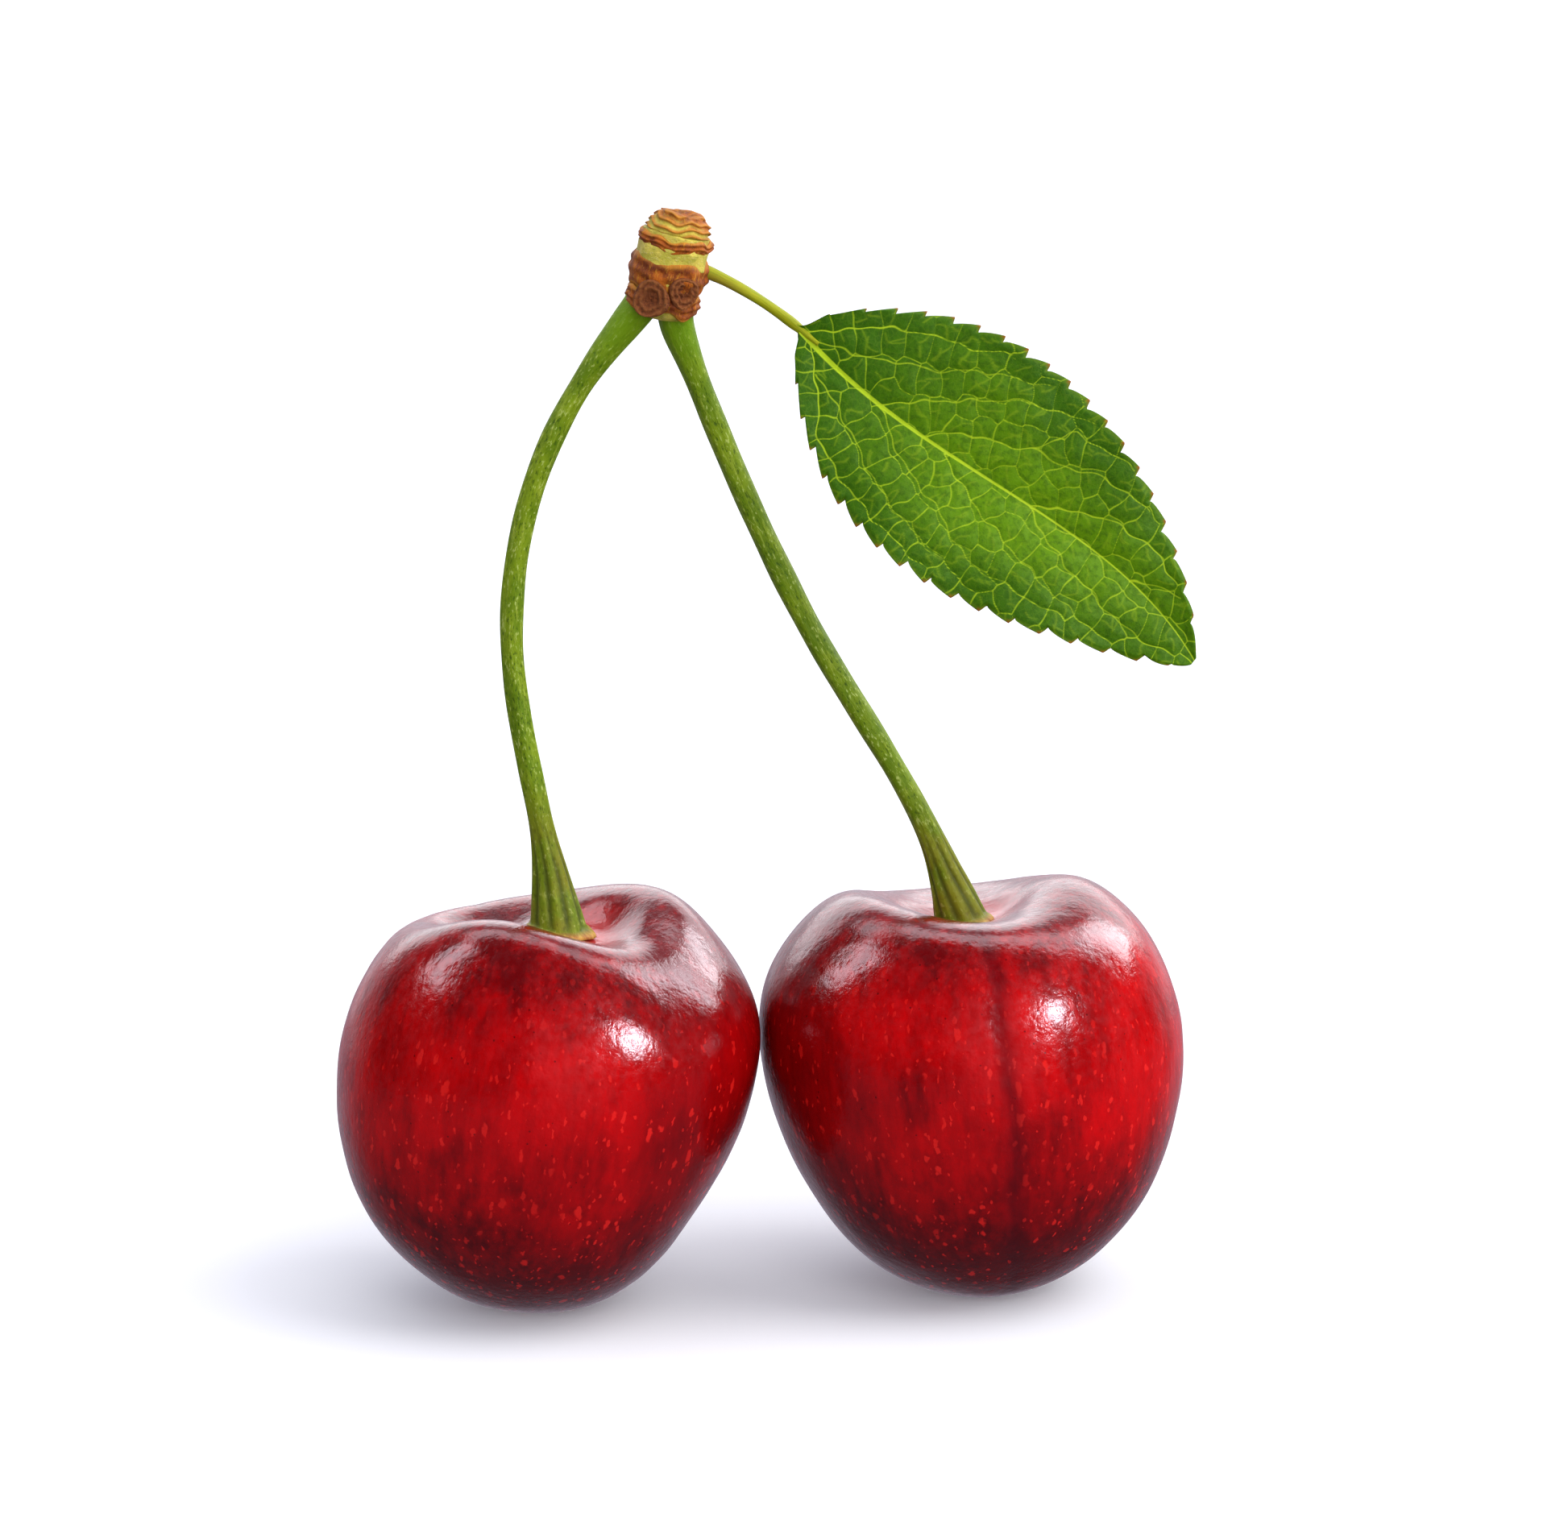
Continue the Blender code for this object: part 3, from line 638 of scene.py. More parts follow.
def make_stalk(name, form, fruit, nodes, seed):
    settings = bpy.context.scene.cherry_stalks
    piece = rod(name, STALK_SIDES, STALK_RINGS)
    points = points_of(piece)
    line, walked, fruit_axis = stalk_line(form, fruit, STALK_RINGS)
    spur_axis = rotation(SPUR_LEAN, "Y") @ np.array((0.0, 0.0, 1.0))
    whole = walked[-1]
    height = points[:, 2] * whole
    angle = np.arctan2(points[:, 1], points[:, 0])
    thin, top, foot = settings.radius / MM, settings.top_radius / MM, settings.foot_radius / MM
    foot_share = np.clip(1.0 - height / FOOT_FLARE, 0.0, 1.0) ** FOOT_FLARE_POWER
    top_share = np.clip(1.0 - (whole - height) / TOP_FLARE, 0.0, 1.0) ** TOP_FLARE_POWER
    radius = thin + (foot - thin) * foot_share + (top - thin) * top_share
    radius *= 1.0 + 0.035 * np.sin(height * 0.9 + seed) * np.sin(height * 0.23 + 2.0 * seed)
    radius *= 1.0 + 0.03 * np.sin(2.0 * angle + height * 0.12 + seed)
    flutes = 0.5 - 0.5 * np.cos(9.0 * angle + 0.25 * height + 0.9 * np.sin(height * 0.8 + seed))
    depth = 0.13 * smooth_step((9.0 - height) / 7.0) * smooth_step(height / 0.9)
    ribs = 0.5 - 0.5 * np.cos(5.0 * angle + seed)
    radius -= depth * flutes**2 + 0.045 * ribs * smooth_step(height / 6.0)
    rim = smooth_step((0.62 - height) / 0.28)
    uneven = 0.10 * np.sin(3.0 * angle + seed) + 0.06 * np.sin(7.0 * angle + 2 * seed)
    radius += rim * (0.30 + uneven)
    radius *= 1.0 - 0.25 * smooth_step((0.22 - height) / 0.22)
    keep_value(piece, "flow", np.stack([(angle + math.pi) * 0.75, height, radius], axis=1))
    keep_value(piece, "from_top", whole - height)
    # The flutes' mask, which the rind paints dark as shade.
    keep_value(piece, "groove", flutes**2 * smooth_step((9.0 - height) / 6.0) * smooth_step(height / 1.2))
    keep_value(piece, "rim", rim)
    rounded = np.stack([points[:, 0] * radius, points[:, 1] * radius, points[:, 2]], axis=1)
    move_points(piece, set_down(along_path(rounded, line, fruit_axis, spur_axis)))
    complete(piece, stalk_rind(settings, name, seed), nodes)


# ------------------------------------------------------------------------------------ the leaf
LEAF_UPPER_EDGE = (25.1, 0.73, 0.92, -0.02)
LEAF_LOWER_EDGE = (29.7, 0.835, 0.57, -0.775)
LEAF_TAPER = 0.035  # the share of the length over which the blade widens from its stalk
UPPER_TEETH = 20
LOWER_TEETH = 18
TOOTH_DEPTH = 0.62
VEIN_HALF_WIDTH = 0.022
VEIN_THINNING = 0.020
MIDRIB_HALF_WIDTH = 0.14
MIDRIB_LEAST = 0.008
# Faces along the blade, across its face and across its underside.
LEAF_GRID = (500, 164, 22)
# Each side vein of the blade, as points along and across it that the vein bends through.
UPPER_VEINS = (
    ((0.6, 0.0), (2.6, 1.8), (5.0, 3.9), (8.2, 5.4), (11.5, 7.0)),
    ((1.6, 0.0), (5.7, 1.9), (9.0, 3.9), (11.7, 5.8), (14.4, 7.0)),
    ((7.0, -0.4), (10.0, 2.3), (12.6, 4.6), (15.3, 6.1), (17.6, 6.9)),
    ((9.9, -0.2), (12.9, 1.9), (16.0, 3.5), (17.2, 5.7), (20.3, 6.4)),
    ((15.9, 3.4), (18.2, 4.0), (21.0, 5.0), (23.9, 5.1)),
    ((18.0, 0.6), (20.0, 2.1), (22.6, 3.2), (25.4, 3.5), (27.6, 2.9)),
    ((25.5, 1.1), (26.7, 1.9), (28.6, 2.3)),
)
LOWER_VEINS = (
    ((1.5, -0.3), (3.3, -2.0), (5.4, -4.2), (8.2, -5.4), (11.8, -6.1), (15.4, -6.3)),
    ((2.9, -1.4), (6.7, -2.8), (9.6, -4.1), (12.6, -4.9), (15.8, -5.3), (19.0, -5.5)),
    ((7.1, -0.4), (10.1, -2.1), (14.0, -3.1), (17.1, -4.2), (20.9, -3.8), (24.0, -3.2)),
    ((11.9, -0.2), (15.1, -1.3), (18.6, -2.0), (22.6, -2.5), (27.0, -2.6)),
    ((18.0, 0.6), (21.2, -0.5), (24.1, -0.9), (27.3, -1.2), (30.2, -0.7)),
)


def edge_distance(shape, share):
    size, rise, fall, slant = shape
    held = np.clip(share, 0.0, 1.0)
    return size * held**rise * (1.0 - held) ** fall * (1.0 + slant * held) * smooth_step(held / LEAF_TAPER)


def midrib_sway(share):
    return share * (1.0 - share) * (-5.45 + 12.26 * share + 4.73 * share * share)


def smooth_line(points, steps):
    """A smooth curve through points, carried straight on at both ends."""
    held = np.array(points, float)
    return curve_through(np.vstack([2 * held[0] - held[1], held, 2 * held[-1] - held[-2]]), steps)


def distance_to_line(points, line):
    """How far each point is from a line of short pieces, and how far along the line that is."""
    best = np.full(len(points), 1e9)
    along = np.zeros(len(points))
    for index in range(len(line) - 1):
        start, way = line[index], line[index + 1] - line[index]
        share = np.clip(((points - start) @ way) / (way @ way + 1e-12), 0.0, 1.0)
        gap = np.linalg.norm(points - (start + share[:, None] * way), axis=1)
        closer = gap < best
        best[closer] = gap[closer]
        along[closer] = (index + share[closer]) / (len(line) - 1)
    return best, along


def vein_seeds(lines, dice):
    """Centres of the small fields between veins: pairs astride each side vein, then a fill."""
    seeds = []
    for line in lines:
        steps = np.concatenate([[0.0], np.cumsum(np.linalg.norm(np.diff(line, axis=0), axis=1))])
        at = 0.8
        while at < steps[-1] - 0.3:
            index = min(np.searchsorted(steps, at), len(line) - 1)
            way = line[index] - line[index - 1]
            way = way / np.linalg.norm(way)
            normal = np.array((-way[1], way[0]))
            reach = dice.uniform(0.62, 0.82)
            for side in (1, -1):
                candidate = line[index] + normal * side * reach
                if all(np.hypot(*(candidate - other)) > 0.95 for other in seeds):
                    seeds.append(candidate)
            at += dice.uniform(1.25, 1.75)
    for _ in range(9000):
        candidate = np.array((dice.uniform(0.0, 32.0), dice.uniform(-8.5, 8.5)))
        if all(np.hypot(*(candidate - other)) > 1.42 for other in seeds):
            seeds.append(candidate)
    return np.array(seeds)


def field_edges(points, seeds):
    """For each point, how far it is from the border of the field it lies in."""
    nearest = np.empty(len(points))
    cell = np.empty(len(points), int)
    for start in range(0, len(points), 4000):
        part = points[start : start + 4000]
        gaps = np.linalg.norm(part[:, None] - seeds[None], axis=2)
        own = gaps.argmin(axis=1)
        mine = seeds[own]
        way = seeds[None] - mine[:, None]
        length = np.linalg.norm(way, axis=2)
        length[np.arange(len(part)), own] = 1.0
        middle = (seeds[None] + mine[:, None]) / 2
        edge = ((middle - part[:, None]) * way).sum(axis=2) / length
        edge[np.arange(len(part)), own] = 1e9
        nearest[start : start + 4000] = edge.min(axis=1)
        cell[start : start + 4000] = own
    return nearest, cell


def veinlets(points, cell, seeds, dice):
    """Short veins that end inside the fields, as a soft mask."""
    mask = np.zeros(len(points))
    order = np.argsort(cell)
    starts = np.searchsorted(cell[order], np.arange(len(seeds) + 1))
    for index, seed in enumerate(seeds):
        mine = order[starts[index] : starts[index + 1]]
        if len(mine) == 0:
            continue
        for _ in range(dice.integers(1, 4)):
            turn = dice.uniform(0, math.tau)
            outer = seed + np.array((math.cos(turn), math.sin(turn))) * 0.75
            inner = seed + dice.uniform(-0.15, 0.15, 2)
            bend = (outer + inner) / 2 + dice.uniform(-0.12, 0.12, 2)
            gap, _ = distance_to_line(points[mine], smooth_line((outer, bend, inner), 3))
            mask[mine] = np.maximum(mask[mine], np.exp(-((gap / 0.055) ** 2)))
    return mask


def toothed_reach(share, side):
    """How far the toothed edge stands from the midrib's axis, and how near each point is to a tooth's tip."""
    teeth = UPPER_TEETH if side > 0 else LOWER_TEETH
    shape = LEAF_UPPER_EDGE if side > 0 else LEAF_LOWER_EDGE
    smooth = edge_distance(shape, share)
    phase = (share ** 0.93 * teeth + (0.15 if side > 0 else 0.55)) % 1.0
    number = np.floor(share ** 0.93 * teeth + (0.15 if side > 0 else 0.55))
    rise = np.clip(phase / 0.90, 0.0, 1.0) ** 0.62
    drop = smooth_step((phase - 0.90) / 0.10)
    tooth = rise * (1.0 - drop)
    fade = smooth_step(share / 0.05) * smooth_step((1.0 - share) / 0.10)
    depth = TOOTH_DEPTH * (0.8 + 0.2 * np.sin(number * 2.4 + side)) * fade
    return smooth - depth * (1.0 - tooth) + 0.12, np.exp(-(((phase - 0.88) / 0.06) ** 2))


def sheet_grid(name, long_way, face_way, under_way):
    """A thin closed sheet: a fine face, a coarser underside and a rim that joins them.

    Returns the piece and, for each point, its share of the length, its side from -1 to 1 and whether
    it lies on the face.
    """
    rows = np.linspace(0.002, 0.998, long_way + 1)
    places, faces, starts = [], [], []
    for columns, on_face in ((face_way, True), (under_way, False)):
        start = sum(len(block) for block in places)
        starts.append(start)
        sides = np.linspace(-1.0, 1.0, columns + 1)
        share, side = np.meshgrid(rows, sides, indexing="ij")
        places.append(np.stack([share.ravel(), side.ravel(), np.full(share.size, float(on_face))], axis=1))
        corner = start + np.add.outer(np.arange(long_way) * (columns + 1), np.arange(columns)).ravel()
        around = np.stack([corner, corner + columns + 1, corner + columns + 2, corner + 1], axis=1)
        faces.extend((around if on_face else around[:, ::-1]).tolist())
    face, under = starts
    for column, below, turn in ((0, 0, 1), (face_way, under_way, -1)):
        for row in range(long_way):
            a, b = face + row * (face_way + 1) + column, face + (row + 1) * (face_way + 1) + column
            c, d = under + (row + 1) * (under_way + 1) + below, under + row * (under_way + 1) + below
            faces.append([a, d, c, b][::turn])
    for row, turn in ((0, 1), (long_way, -1)):
        top_row = [face + row * (face_way + 1) + column for column in range(face_way + 1)]
        low_row = [under + row * (under_way + 1) + column for column in range(under_way + 1)]
        faces.append((top_row + low_row[::-1])[::turn])
    found = np.concatenate(places)
    data = bpy.data.meshes.new(name)
    data.from_pydata(found, [], faces)
    piece = bpy.data.objects.new(name, data)
    bpy.context.collection.objects.link(piece)
    only(piece)
    bpy.ops.object.mode_set(mode="EDIT")
    bpy.ops.mesh.select_all(action="SELECT")
    bpy.ops.mesh.normals_make_consistent(inside=False)
    bpy.ops.object.mode_set(mode="OBJECT")
    return piece, found[:, 0], found[:, 1], found[:, 2] > 0.5


def leaf_turn():
    down, tilt = math.radians(LEAF_DROP), math.radians(LEAF_TILT)
    along = np.array((math.cos(down), -math.sin(down) * math.sin(tilt), -math.sin(down) * math.cos(tilt)))
    across = np.array((math.sin(down), math.cos(down) * math.sin(tilt), math.cos(down) * math.cos(tilt)))
    return np.stack([along, across, np.cross(along, across)], axis=1)


def blade_surface(settings):
    """Green blade with a net of pale veins, a painted glow of light through its middle, reddish tips on its
    teeth and a soft shine.
    """
    leaf = Shader("leaf_blade")
    place = leaf.vector_of("place")
    along, across, _ = leaf.parts(place)
    # Painted light: the blade is painted lighter in the middle, as light shining through it, and darker
    # towards its base, tip and margins.
    clouds = leaf.noise(leaf.scaled(place, (0.55, 0.9, 1.0)), 0.16, 3.0)
    centred = leaf.math("ABSOLUTE", leaf.math("SUBTRACT", across, 1.0))
    middle = leaf.math("SUBTRACT", leaf.math("ADD", clouds, 0.55), leaf.math("MULTIPLY", centred, 0.09))
    reach = leaf.math("MULTIPLY", leaf.between(along, 3.0, 14.0), leaf.between(along, 24.0, 31.0, 1.0, 0.35))
    light = leaf.math("MULTIPLY", leaf.between(middle, 0.42, 1.10), reach)
    colour = leaf.blend(light, settings.blade[:], settings.glow[:])
    fine = leaf.noise(place, 2.6, 5.0, 0.68)
    colour = leaf.blend(leaf.between(fine, 0.42, 0.66, 0.0, 0.5), colour, (0.018, 0.070, 0.0008))
    mesh = leaf.cells(leaf.scaled(place, (1.0, 1.0, 0.0)), 2.6, "DISTANCE_TO_EDGE")
    hair = leaf.between(mesh.outputs["Distance"], 0.01, 0.07, 0.16, 0.0)
    colour = leaf.blend(hair, colour, (0.16, 0.27, 0.012))
    colour = leaf.blend(leaf.math("MULTIPLY", leaf.value_of("veinlet"), 0.34), colour, (0.28, 0.42, 0.01))
    under = leaf.value_of("under")
    wide = leaf.cells(leaf.scaled(place, (1.0, 1.0, 0.0)), 0.62, "DISTANCE_TO_EDGE")
    colour = leaf.blend(under, colour, leaf.blend(0.6, colour, (0.20, 0.30, 0.06)))
    net = leaf.blend(under, leaf.value_of("net"), wide.outputs["Distance"])
    colour = leaf.blend(leaf.between(net, 0.0, 0.062, 0.85, 0.0), colour, (0.36, 0.52, 0.012))
    rib = leaf.value_of("rib")
    main = leaf.between(leaf.value_of("main"), 0.0, 1.0, 0.60, 0.92)
    on_rib = leaf.math("MULTIPLY", leaf.between(rib, -0.01, 0.06, 1.0, 0.0), main)
    colour = leaf.blend(on_rib, colour, settings.vein[:])
    edge = leaf.value_of("edge")
    colour = leaf.blend(leaf.between(edge, 0.94, 0.995, 0.0, 0.4), colour, (0.15, 0.24, 0.012))
    colour = leaf.blend(leaf.value_of("gland"), colour, (0.34, 0.075, 0.012))
    pores = leaf.noise(place, 9.0, 2.0)
    height = leaf.math("ADD", leaf.math("MULTIPLY", fine, 0.8), leaf.math("MULTIPLY", pores, 0.25))
    normal = leaf.bump(height, 0.00007, 0.7)
    gloss = leaf.between(fine, 0.3, 0.7, 0.42, 0.58)
    return leaf.set(Base_Color=colour, Roughness=gloss, Normal=normal, IOR=1.45, Specular_IOR_Level=0.1)


# ------------------------------------------------------------------------------------ the spur
SPUR_SIDES = 200
# Each collar: lower and upper height, outer radius, flare, waves round its edge, seed.
COLLARS = (
    ("base", 0.15, 1.35, 2.16, 0.22, (3, 5, 8), 3),
    ("middle", 1.40, 3.45, 2.14, 0.36, (2, 5, 7), 8),
    ("upper", 4.00, 4.78, 2.08, 0.26, (2, 4, 9), 12),
)
# Each scar: height, bearing from the front, distance from the spur's axis, radius, tilt, seed.
SCARS = (
    ("stalk_scar_front", 1.0, -16.0, 2.50, 1.15, -4.0, 2),
    ("stalk_scar_side", 1.75, 30.0, 2.34, 1.0, 0.0, 6),
)


def bark_surface(settings):
    """Yellow-green bark with fine wrinkles and brown freckles."""
    bark = Shader("spur_bark")
    place = bark.vector_of("place")
    patches = bark.noise(place, 1.1, 4.0, 0.6)
    fine = bark.noise(bark.scaled(place, (1.0, 1.0, 1.6)), 5.0, 4.0, 0.65)
    colour = bark.blend(bark.between(patches, 0.4, 0.62), settings.bark[:], (0.50, 0.44, 0.05))
    colour = bark.blend(bark.between(fine, 0.52, 0.7, 0.0, 0.6), colour, (0.72, 0.58, 0.22))
    colour = bark.blend(bark.between(fine, 0.30, 0.42, 0.7, 0.0), colour, (0.34, 0.13, 0.02))
    normal = bark.bump(fine, 0.00012, 0.8)
    return bark.set(Base_Color=colour, Roughness=0.55, Normal=normal, Specular_IOR_Level=0.15)


def scale_surface(settings, name="dry_scale"):
    """Dry papery brown with orange edges that are partly painted highlight, and dark cracks, over green bark
    where it is bare.
    """
    dry = Shader(name)
    place = dry.vector_of("place")
    edge = dry.value_of("edge")
    patches = dry.noise(place, 1.3, 4.0, 0.65)
    fine = dry.noise(dry.scaled(place, (1.0, 1.0, 0.35)), 4.5, 5.0, 0.7)
    colour = dry.blend(dry.between(patches, 0.38, 0.62), settings.scale[:], (0.20, 0.040, 0.008))
    colour = dry.blend(dry.between(fine, 0.52, 0.7, 0.0, 0.65), colour, (0.68, 0.30, 0.03))
    colour = dry.blend(dry.between(fine, 0.30, 0.43, 0.8, 0.0), colour, (0.07, 0.018, 0.005))
    # Orange on the scales' edges and the crown's ridges: partly the dry scales' own paler rims, partly
    # painted highlight where the ridges catch the light.
    colour = dry.blend(dry.math("MULTIPLY", edge, 0.7), colour, (0.70, 0.30, 0.03))
    green = dry.blend(dry.between(patches, 0.42, 0.62), (0.74, 0.62, 0.10), (0.56, 0.46, 0.05))
    colour = dry.blend(dry.value_of("bare"), colour, green)
    height = dry.math("ADD", fine, dry.math("MULTIPLY", patches, 0.5))
    normal = dry.bump(height, 0.00018, 0.9)
    gloss = dry.between(fine, 0.3, 0.7, 0.5, 0.8)
    return dry.set(Base_Color=colour, Roughness=gloss, Normal=normal, Specular_IOR_Level=0.15)


def cork_surface(settings):
    """Dark cork with rings and cracks."""
    cork = Shader("corky_scar")
    place = cork.vector_of("place")
    ring = cork.value_of("ring")
    fine = cork.noise(place, 5.0, 5.0, 0.7)
    colour = cork.blend(cork.between(fine, 0.38, 0.62), settings.cork[:], (0.24, 0.065, 0.018))
    colour = cork.blend(cork.math("MULTIPLY", ring, 0.6), colour, (0.34, 0.115, 0.03))
    colour = cork.blend(cork.between(fine, 0.32, 0.42, 0.8, 0.0), colour, (0.03, 0.010, 0.006))
    normal = cork.bump(fine, 0.00016, 0.9)
    return cork.set(Base_Color=colour, Roughness=0.8, Normal=normal, Specular_IOR_Level=0.15)


def spur_place(points):
    turn = rotation(SPUR_LEAN, "Y")
    return set_down(points @ turn.T + np.array(SPUR_FOOT))


def make_spur_bark():
    settings = bpy.context.scene.cherry_spur
    outline = [(0.0, -0.45), (0.8, -0.42), (1.5, -0.25), (1.9, 0.1)]
    outline += [(2.05, height) for height in np.linspace(0.4, 2.9, 26)]
    outline += [(2.2, height) for height in np.linspace(3.05, 4.1, 14)]
    outline += [(2.02, height) for height in np.linspace(4.25, 4.95, 10)]
    outline += [(1.5, 5.05), (0.8, 5.1), (0.0, 5.12)]
    piece = turn_outline("spur_bark", outline, SPUR_SIDES)
    points = points_of(piece)
    radius = np.hypot(points[:, 0], points[:, 1])
    angle = np.arctan2(points[:, 1], points[:, 0])
    lumps = 0.05 * np.sin(4 * angle + points[:, 2] * 1.3) + 0.03 * np.sin(9 * angle - points[:, 2] * 2.1)
    lumps += 0.03 * wobble(points, 1.4, 31)
    grow = 1.0 + lumps / np.maximum(radius, 0.5) * smooth_step(radius / 1.2)
    keep_value(piece, "place", points)
    move_points(piece, spur_place(points * np.stack([grow, grow, np.ones(len(grow))], axis=1)))
    complete(piece, bark_surface(settings), ["spur_bark"])


def make_collar(name, low, high, outer, flare, waves, seed, surface, nodes):
    """A dry collar whose upper edge stands out in uneven flakes."""
    inner = 1.95
    count = 22
    wall = [(outer, height) for height in np.linspace(low, high, count)]
    outline = [(inner, low), *wall, (inner, high)]
    piece = turn_outline(name, outline + [outline[0]], SPUR_SIDES)
    points = points_of(piece)
    radius = np.hypot(points[:, 0], points[:, 1])
    angle = np.arctan2(points[:, 1], points[:, 0])
    up = (points[:, 2] - low) / (high - low)
    outside = smooth_step((radius - inner) / (outer - inner))
    flakes = np.zeros(len(points))
    dice = np.random.default_rng(seed)
    for wave in waves:
        flakes += np.sin(wave * angle + dice.uniform(0, math.tau)) / len(waves)
    lip = np.sin(np.clip(up, 0, 1) * math.pi) ** 0.7
    fold = 0.06 * np.sin(up * 17.0 + 2.0 * flakes) + 0.05 * wobble(points, 0.8, seed)
    reach = radius + outside * (flare * lip * (0.6 + 0.6 * flakes) + fold * lip)
    rise = points[:, 2] + 0.22 * flakes + 0.08 * np.sin(5 * angle + seed)
    keep_value(piece, "place", points * 1.0)
    # The collar's edges, which the scale surface paints orange, partly as highlight.
    keep_value(piece, "edge", outside * (smooth_step((up - 0.78) / 0.2) + smooth_step((0.12 - up) / 0.1)))
    shaped = np.stack([reach * np.cos(angle), reach * np.sin(angle), rise], axis=1)
    move_points(piece, spur_place(shaped))
    complete(piece, surface, nodes)


def make_crown(surface):
    outline = [(0.0, 4.9), (1.3, 4.92), (1.75, 5.0)]
    outline += [(1.85 - 0.75 * share**1.8, 5.0 + 1.2 * share) for share in np.linspace(0.05, 1.0, 30)]
    outline += [(0.9, 6.24), (0.7, 6.18), (0.5, 6.1), (0.3, 6.05), (0.0, 6.04)]
    piece = turn_outline("scale_crown", outline, SPUR_SIDES)
    points = points_of(piece)
    radius = np.hypot(points[:, 0], points[:, 1])
    angle = np.arctan2(points[:, 1], points[:, 0])
    layers = (points[:, 2] - 5.0) / 0.42 + 0.35 * np.sin(3 * angle + 1.0) + 0.18 * np.sin(7 * angle)
    saw = layers % 1.0
    ridge = np.maximum(bell(saw, 0.0, 0.20), bell(saw, 1.0, 0.27))
    crowded = smooth_step((points[:, 2] - 5.45) / 0.6)
    knob = bell((angle + math.pi) % math.tau - math.pi, 0.1, 0.8) * bell(points[:, 2], 5.7, 0.5)
    shelf = (0.20 * ridge + 0.16 * knob) * smooth_step(radius / 1.0)
    grow = (radius + shelf + 0.04 * wobble(points, 0.7, 5)) / np.maximum(radius, 1e-6)
    keep_value(piece, "place", points)
    # The crown's ridges, which the scale surface paints orange, partly as highlight.
    keep_value(piece, "edge", ridge * smooth_step(radius / 1.0))
    keep_value(piece, "bare", np.clip(1.0 - 1.3 * ridge - 0.9 * knob - 0.85 * crowded, 0.0, 1.0))
    shaped = points.copy()
    shaped[:, :2] *= grow[:, None]
    shaped[:, 2] += 0.08 * np.sin(2 * angle) * smooth_step((points[:, 2] - 5.2) / 0.8)
    move_points(piece, spur_place(shaped))
    complete(piece, surface, ["scale_crown"])


def make_scar(name, height, bearing, reach, size, tilt, seed):
    settings = bpy.context.scene.cherry_spur
    outline = [(0.0, -0.3), (0.75, -0.3), (0.96, -0.15), (1.0, 0.0)]
    outline += [(share, 0.1) for share in np.linspace(0.96, 0.03, 40)] + [(0.0, 0.1)]
    piece = turn_outline(name, outline, 120)
    points = points_of(piece)
    radius = np.hypot(points[:, 0], points[:, 1])
    angle = np.arctan2(points[:, 1], points[:, 0])
    waves = radius * 5.2 + 0.35 * np.sin(2 * angle + seed) + 0.2 * np.sin(5 * angle)
    top = points[:, 2] > 0.05
    rings = 0.5 - 0.5 * np.cos(math.tau * waves * 0.55)
    dip = -0.22 * smooth_step((0.62 - radius) / 0.45)
    points[:, 2] += top * (0.075 * rings + dip + 0.035 * wobble(points, 0.35, seed))
    keep_value(piece, "place", points * 1.3)
    keep_value(piece, "ring", top * rings * smooth_step((radius - 0.25) / 0.4))
    squeeze = 1.0 + 0.05 * np.sin(3 * angle + seed)
    points[:, :2] *= (size * squeeze)[:, None]
    facing = rotation(bearing, "Z") @ rotation(90.0 + tilt, "X")
    turn = math.radians(bearing)
    away = np.array((math.sin(turn) * reach, -math.cos(turn) * reach, height))
    move_points(piece, spur_place(points @ facing.T + away))
    complete(piece, cork_surface(settings), [name])


# -------------------------------------------------------------------------------- the operators
LOOKED_AT_HEIGHT = 34.4  # on the plan, in millimetres
# Soft boxes that only show as a shine: bearing and height in degrees, distance, size, brightness.
BOXES = (
    ("right_box", (122, 32), 0.36, (0.15, 0.20), 11.0),
    ("left_strip", (-88, 38), 0.36, (0.10, 0.19), 8.0),
    ("top_box", (180, 73), 0.42, (0.62, 0.17), 4.5),
    ("back_box", (180, 26), 0.46, (0.90, 0.28), 2.4),
    ("front_spot", (46, 20), 0.40, (0.085, 0.085), 46.0),
)
# Even light that leaves no shine: bearing and height in degrees, strength, spread in degrees.
SUNS = (
    ("overhead", (60, 78), 1.0, 80.0),
    ("key", (70, 48), 1.25, 45.0),
    ("front_fill", (16, 14), 1.55, 50.0),
    ("right_fill", (88, 10), 0.95, 40.0),
)


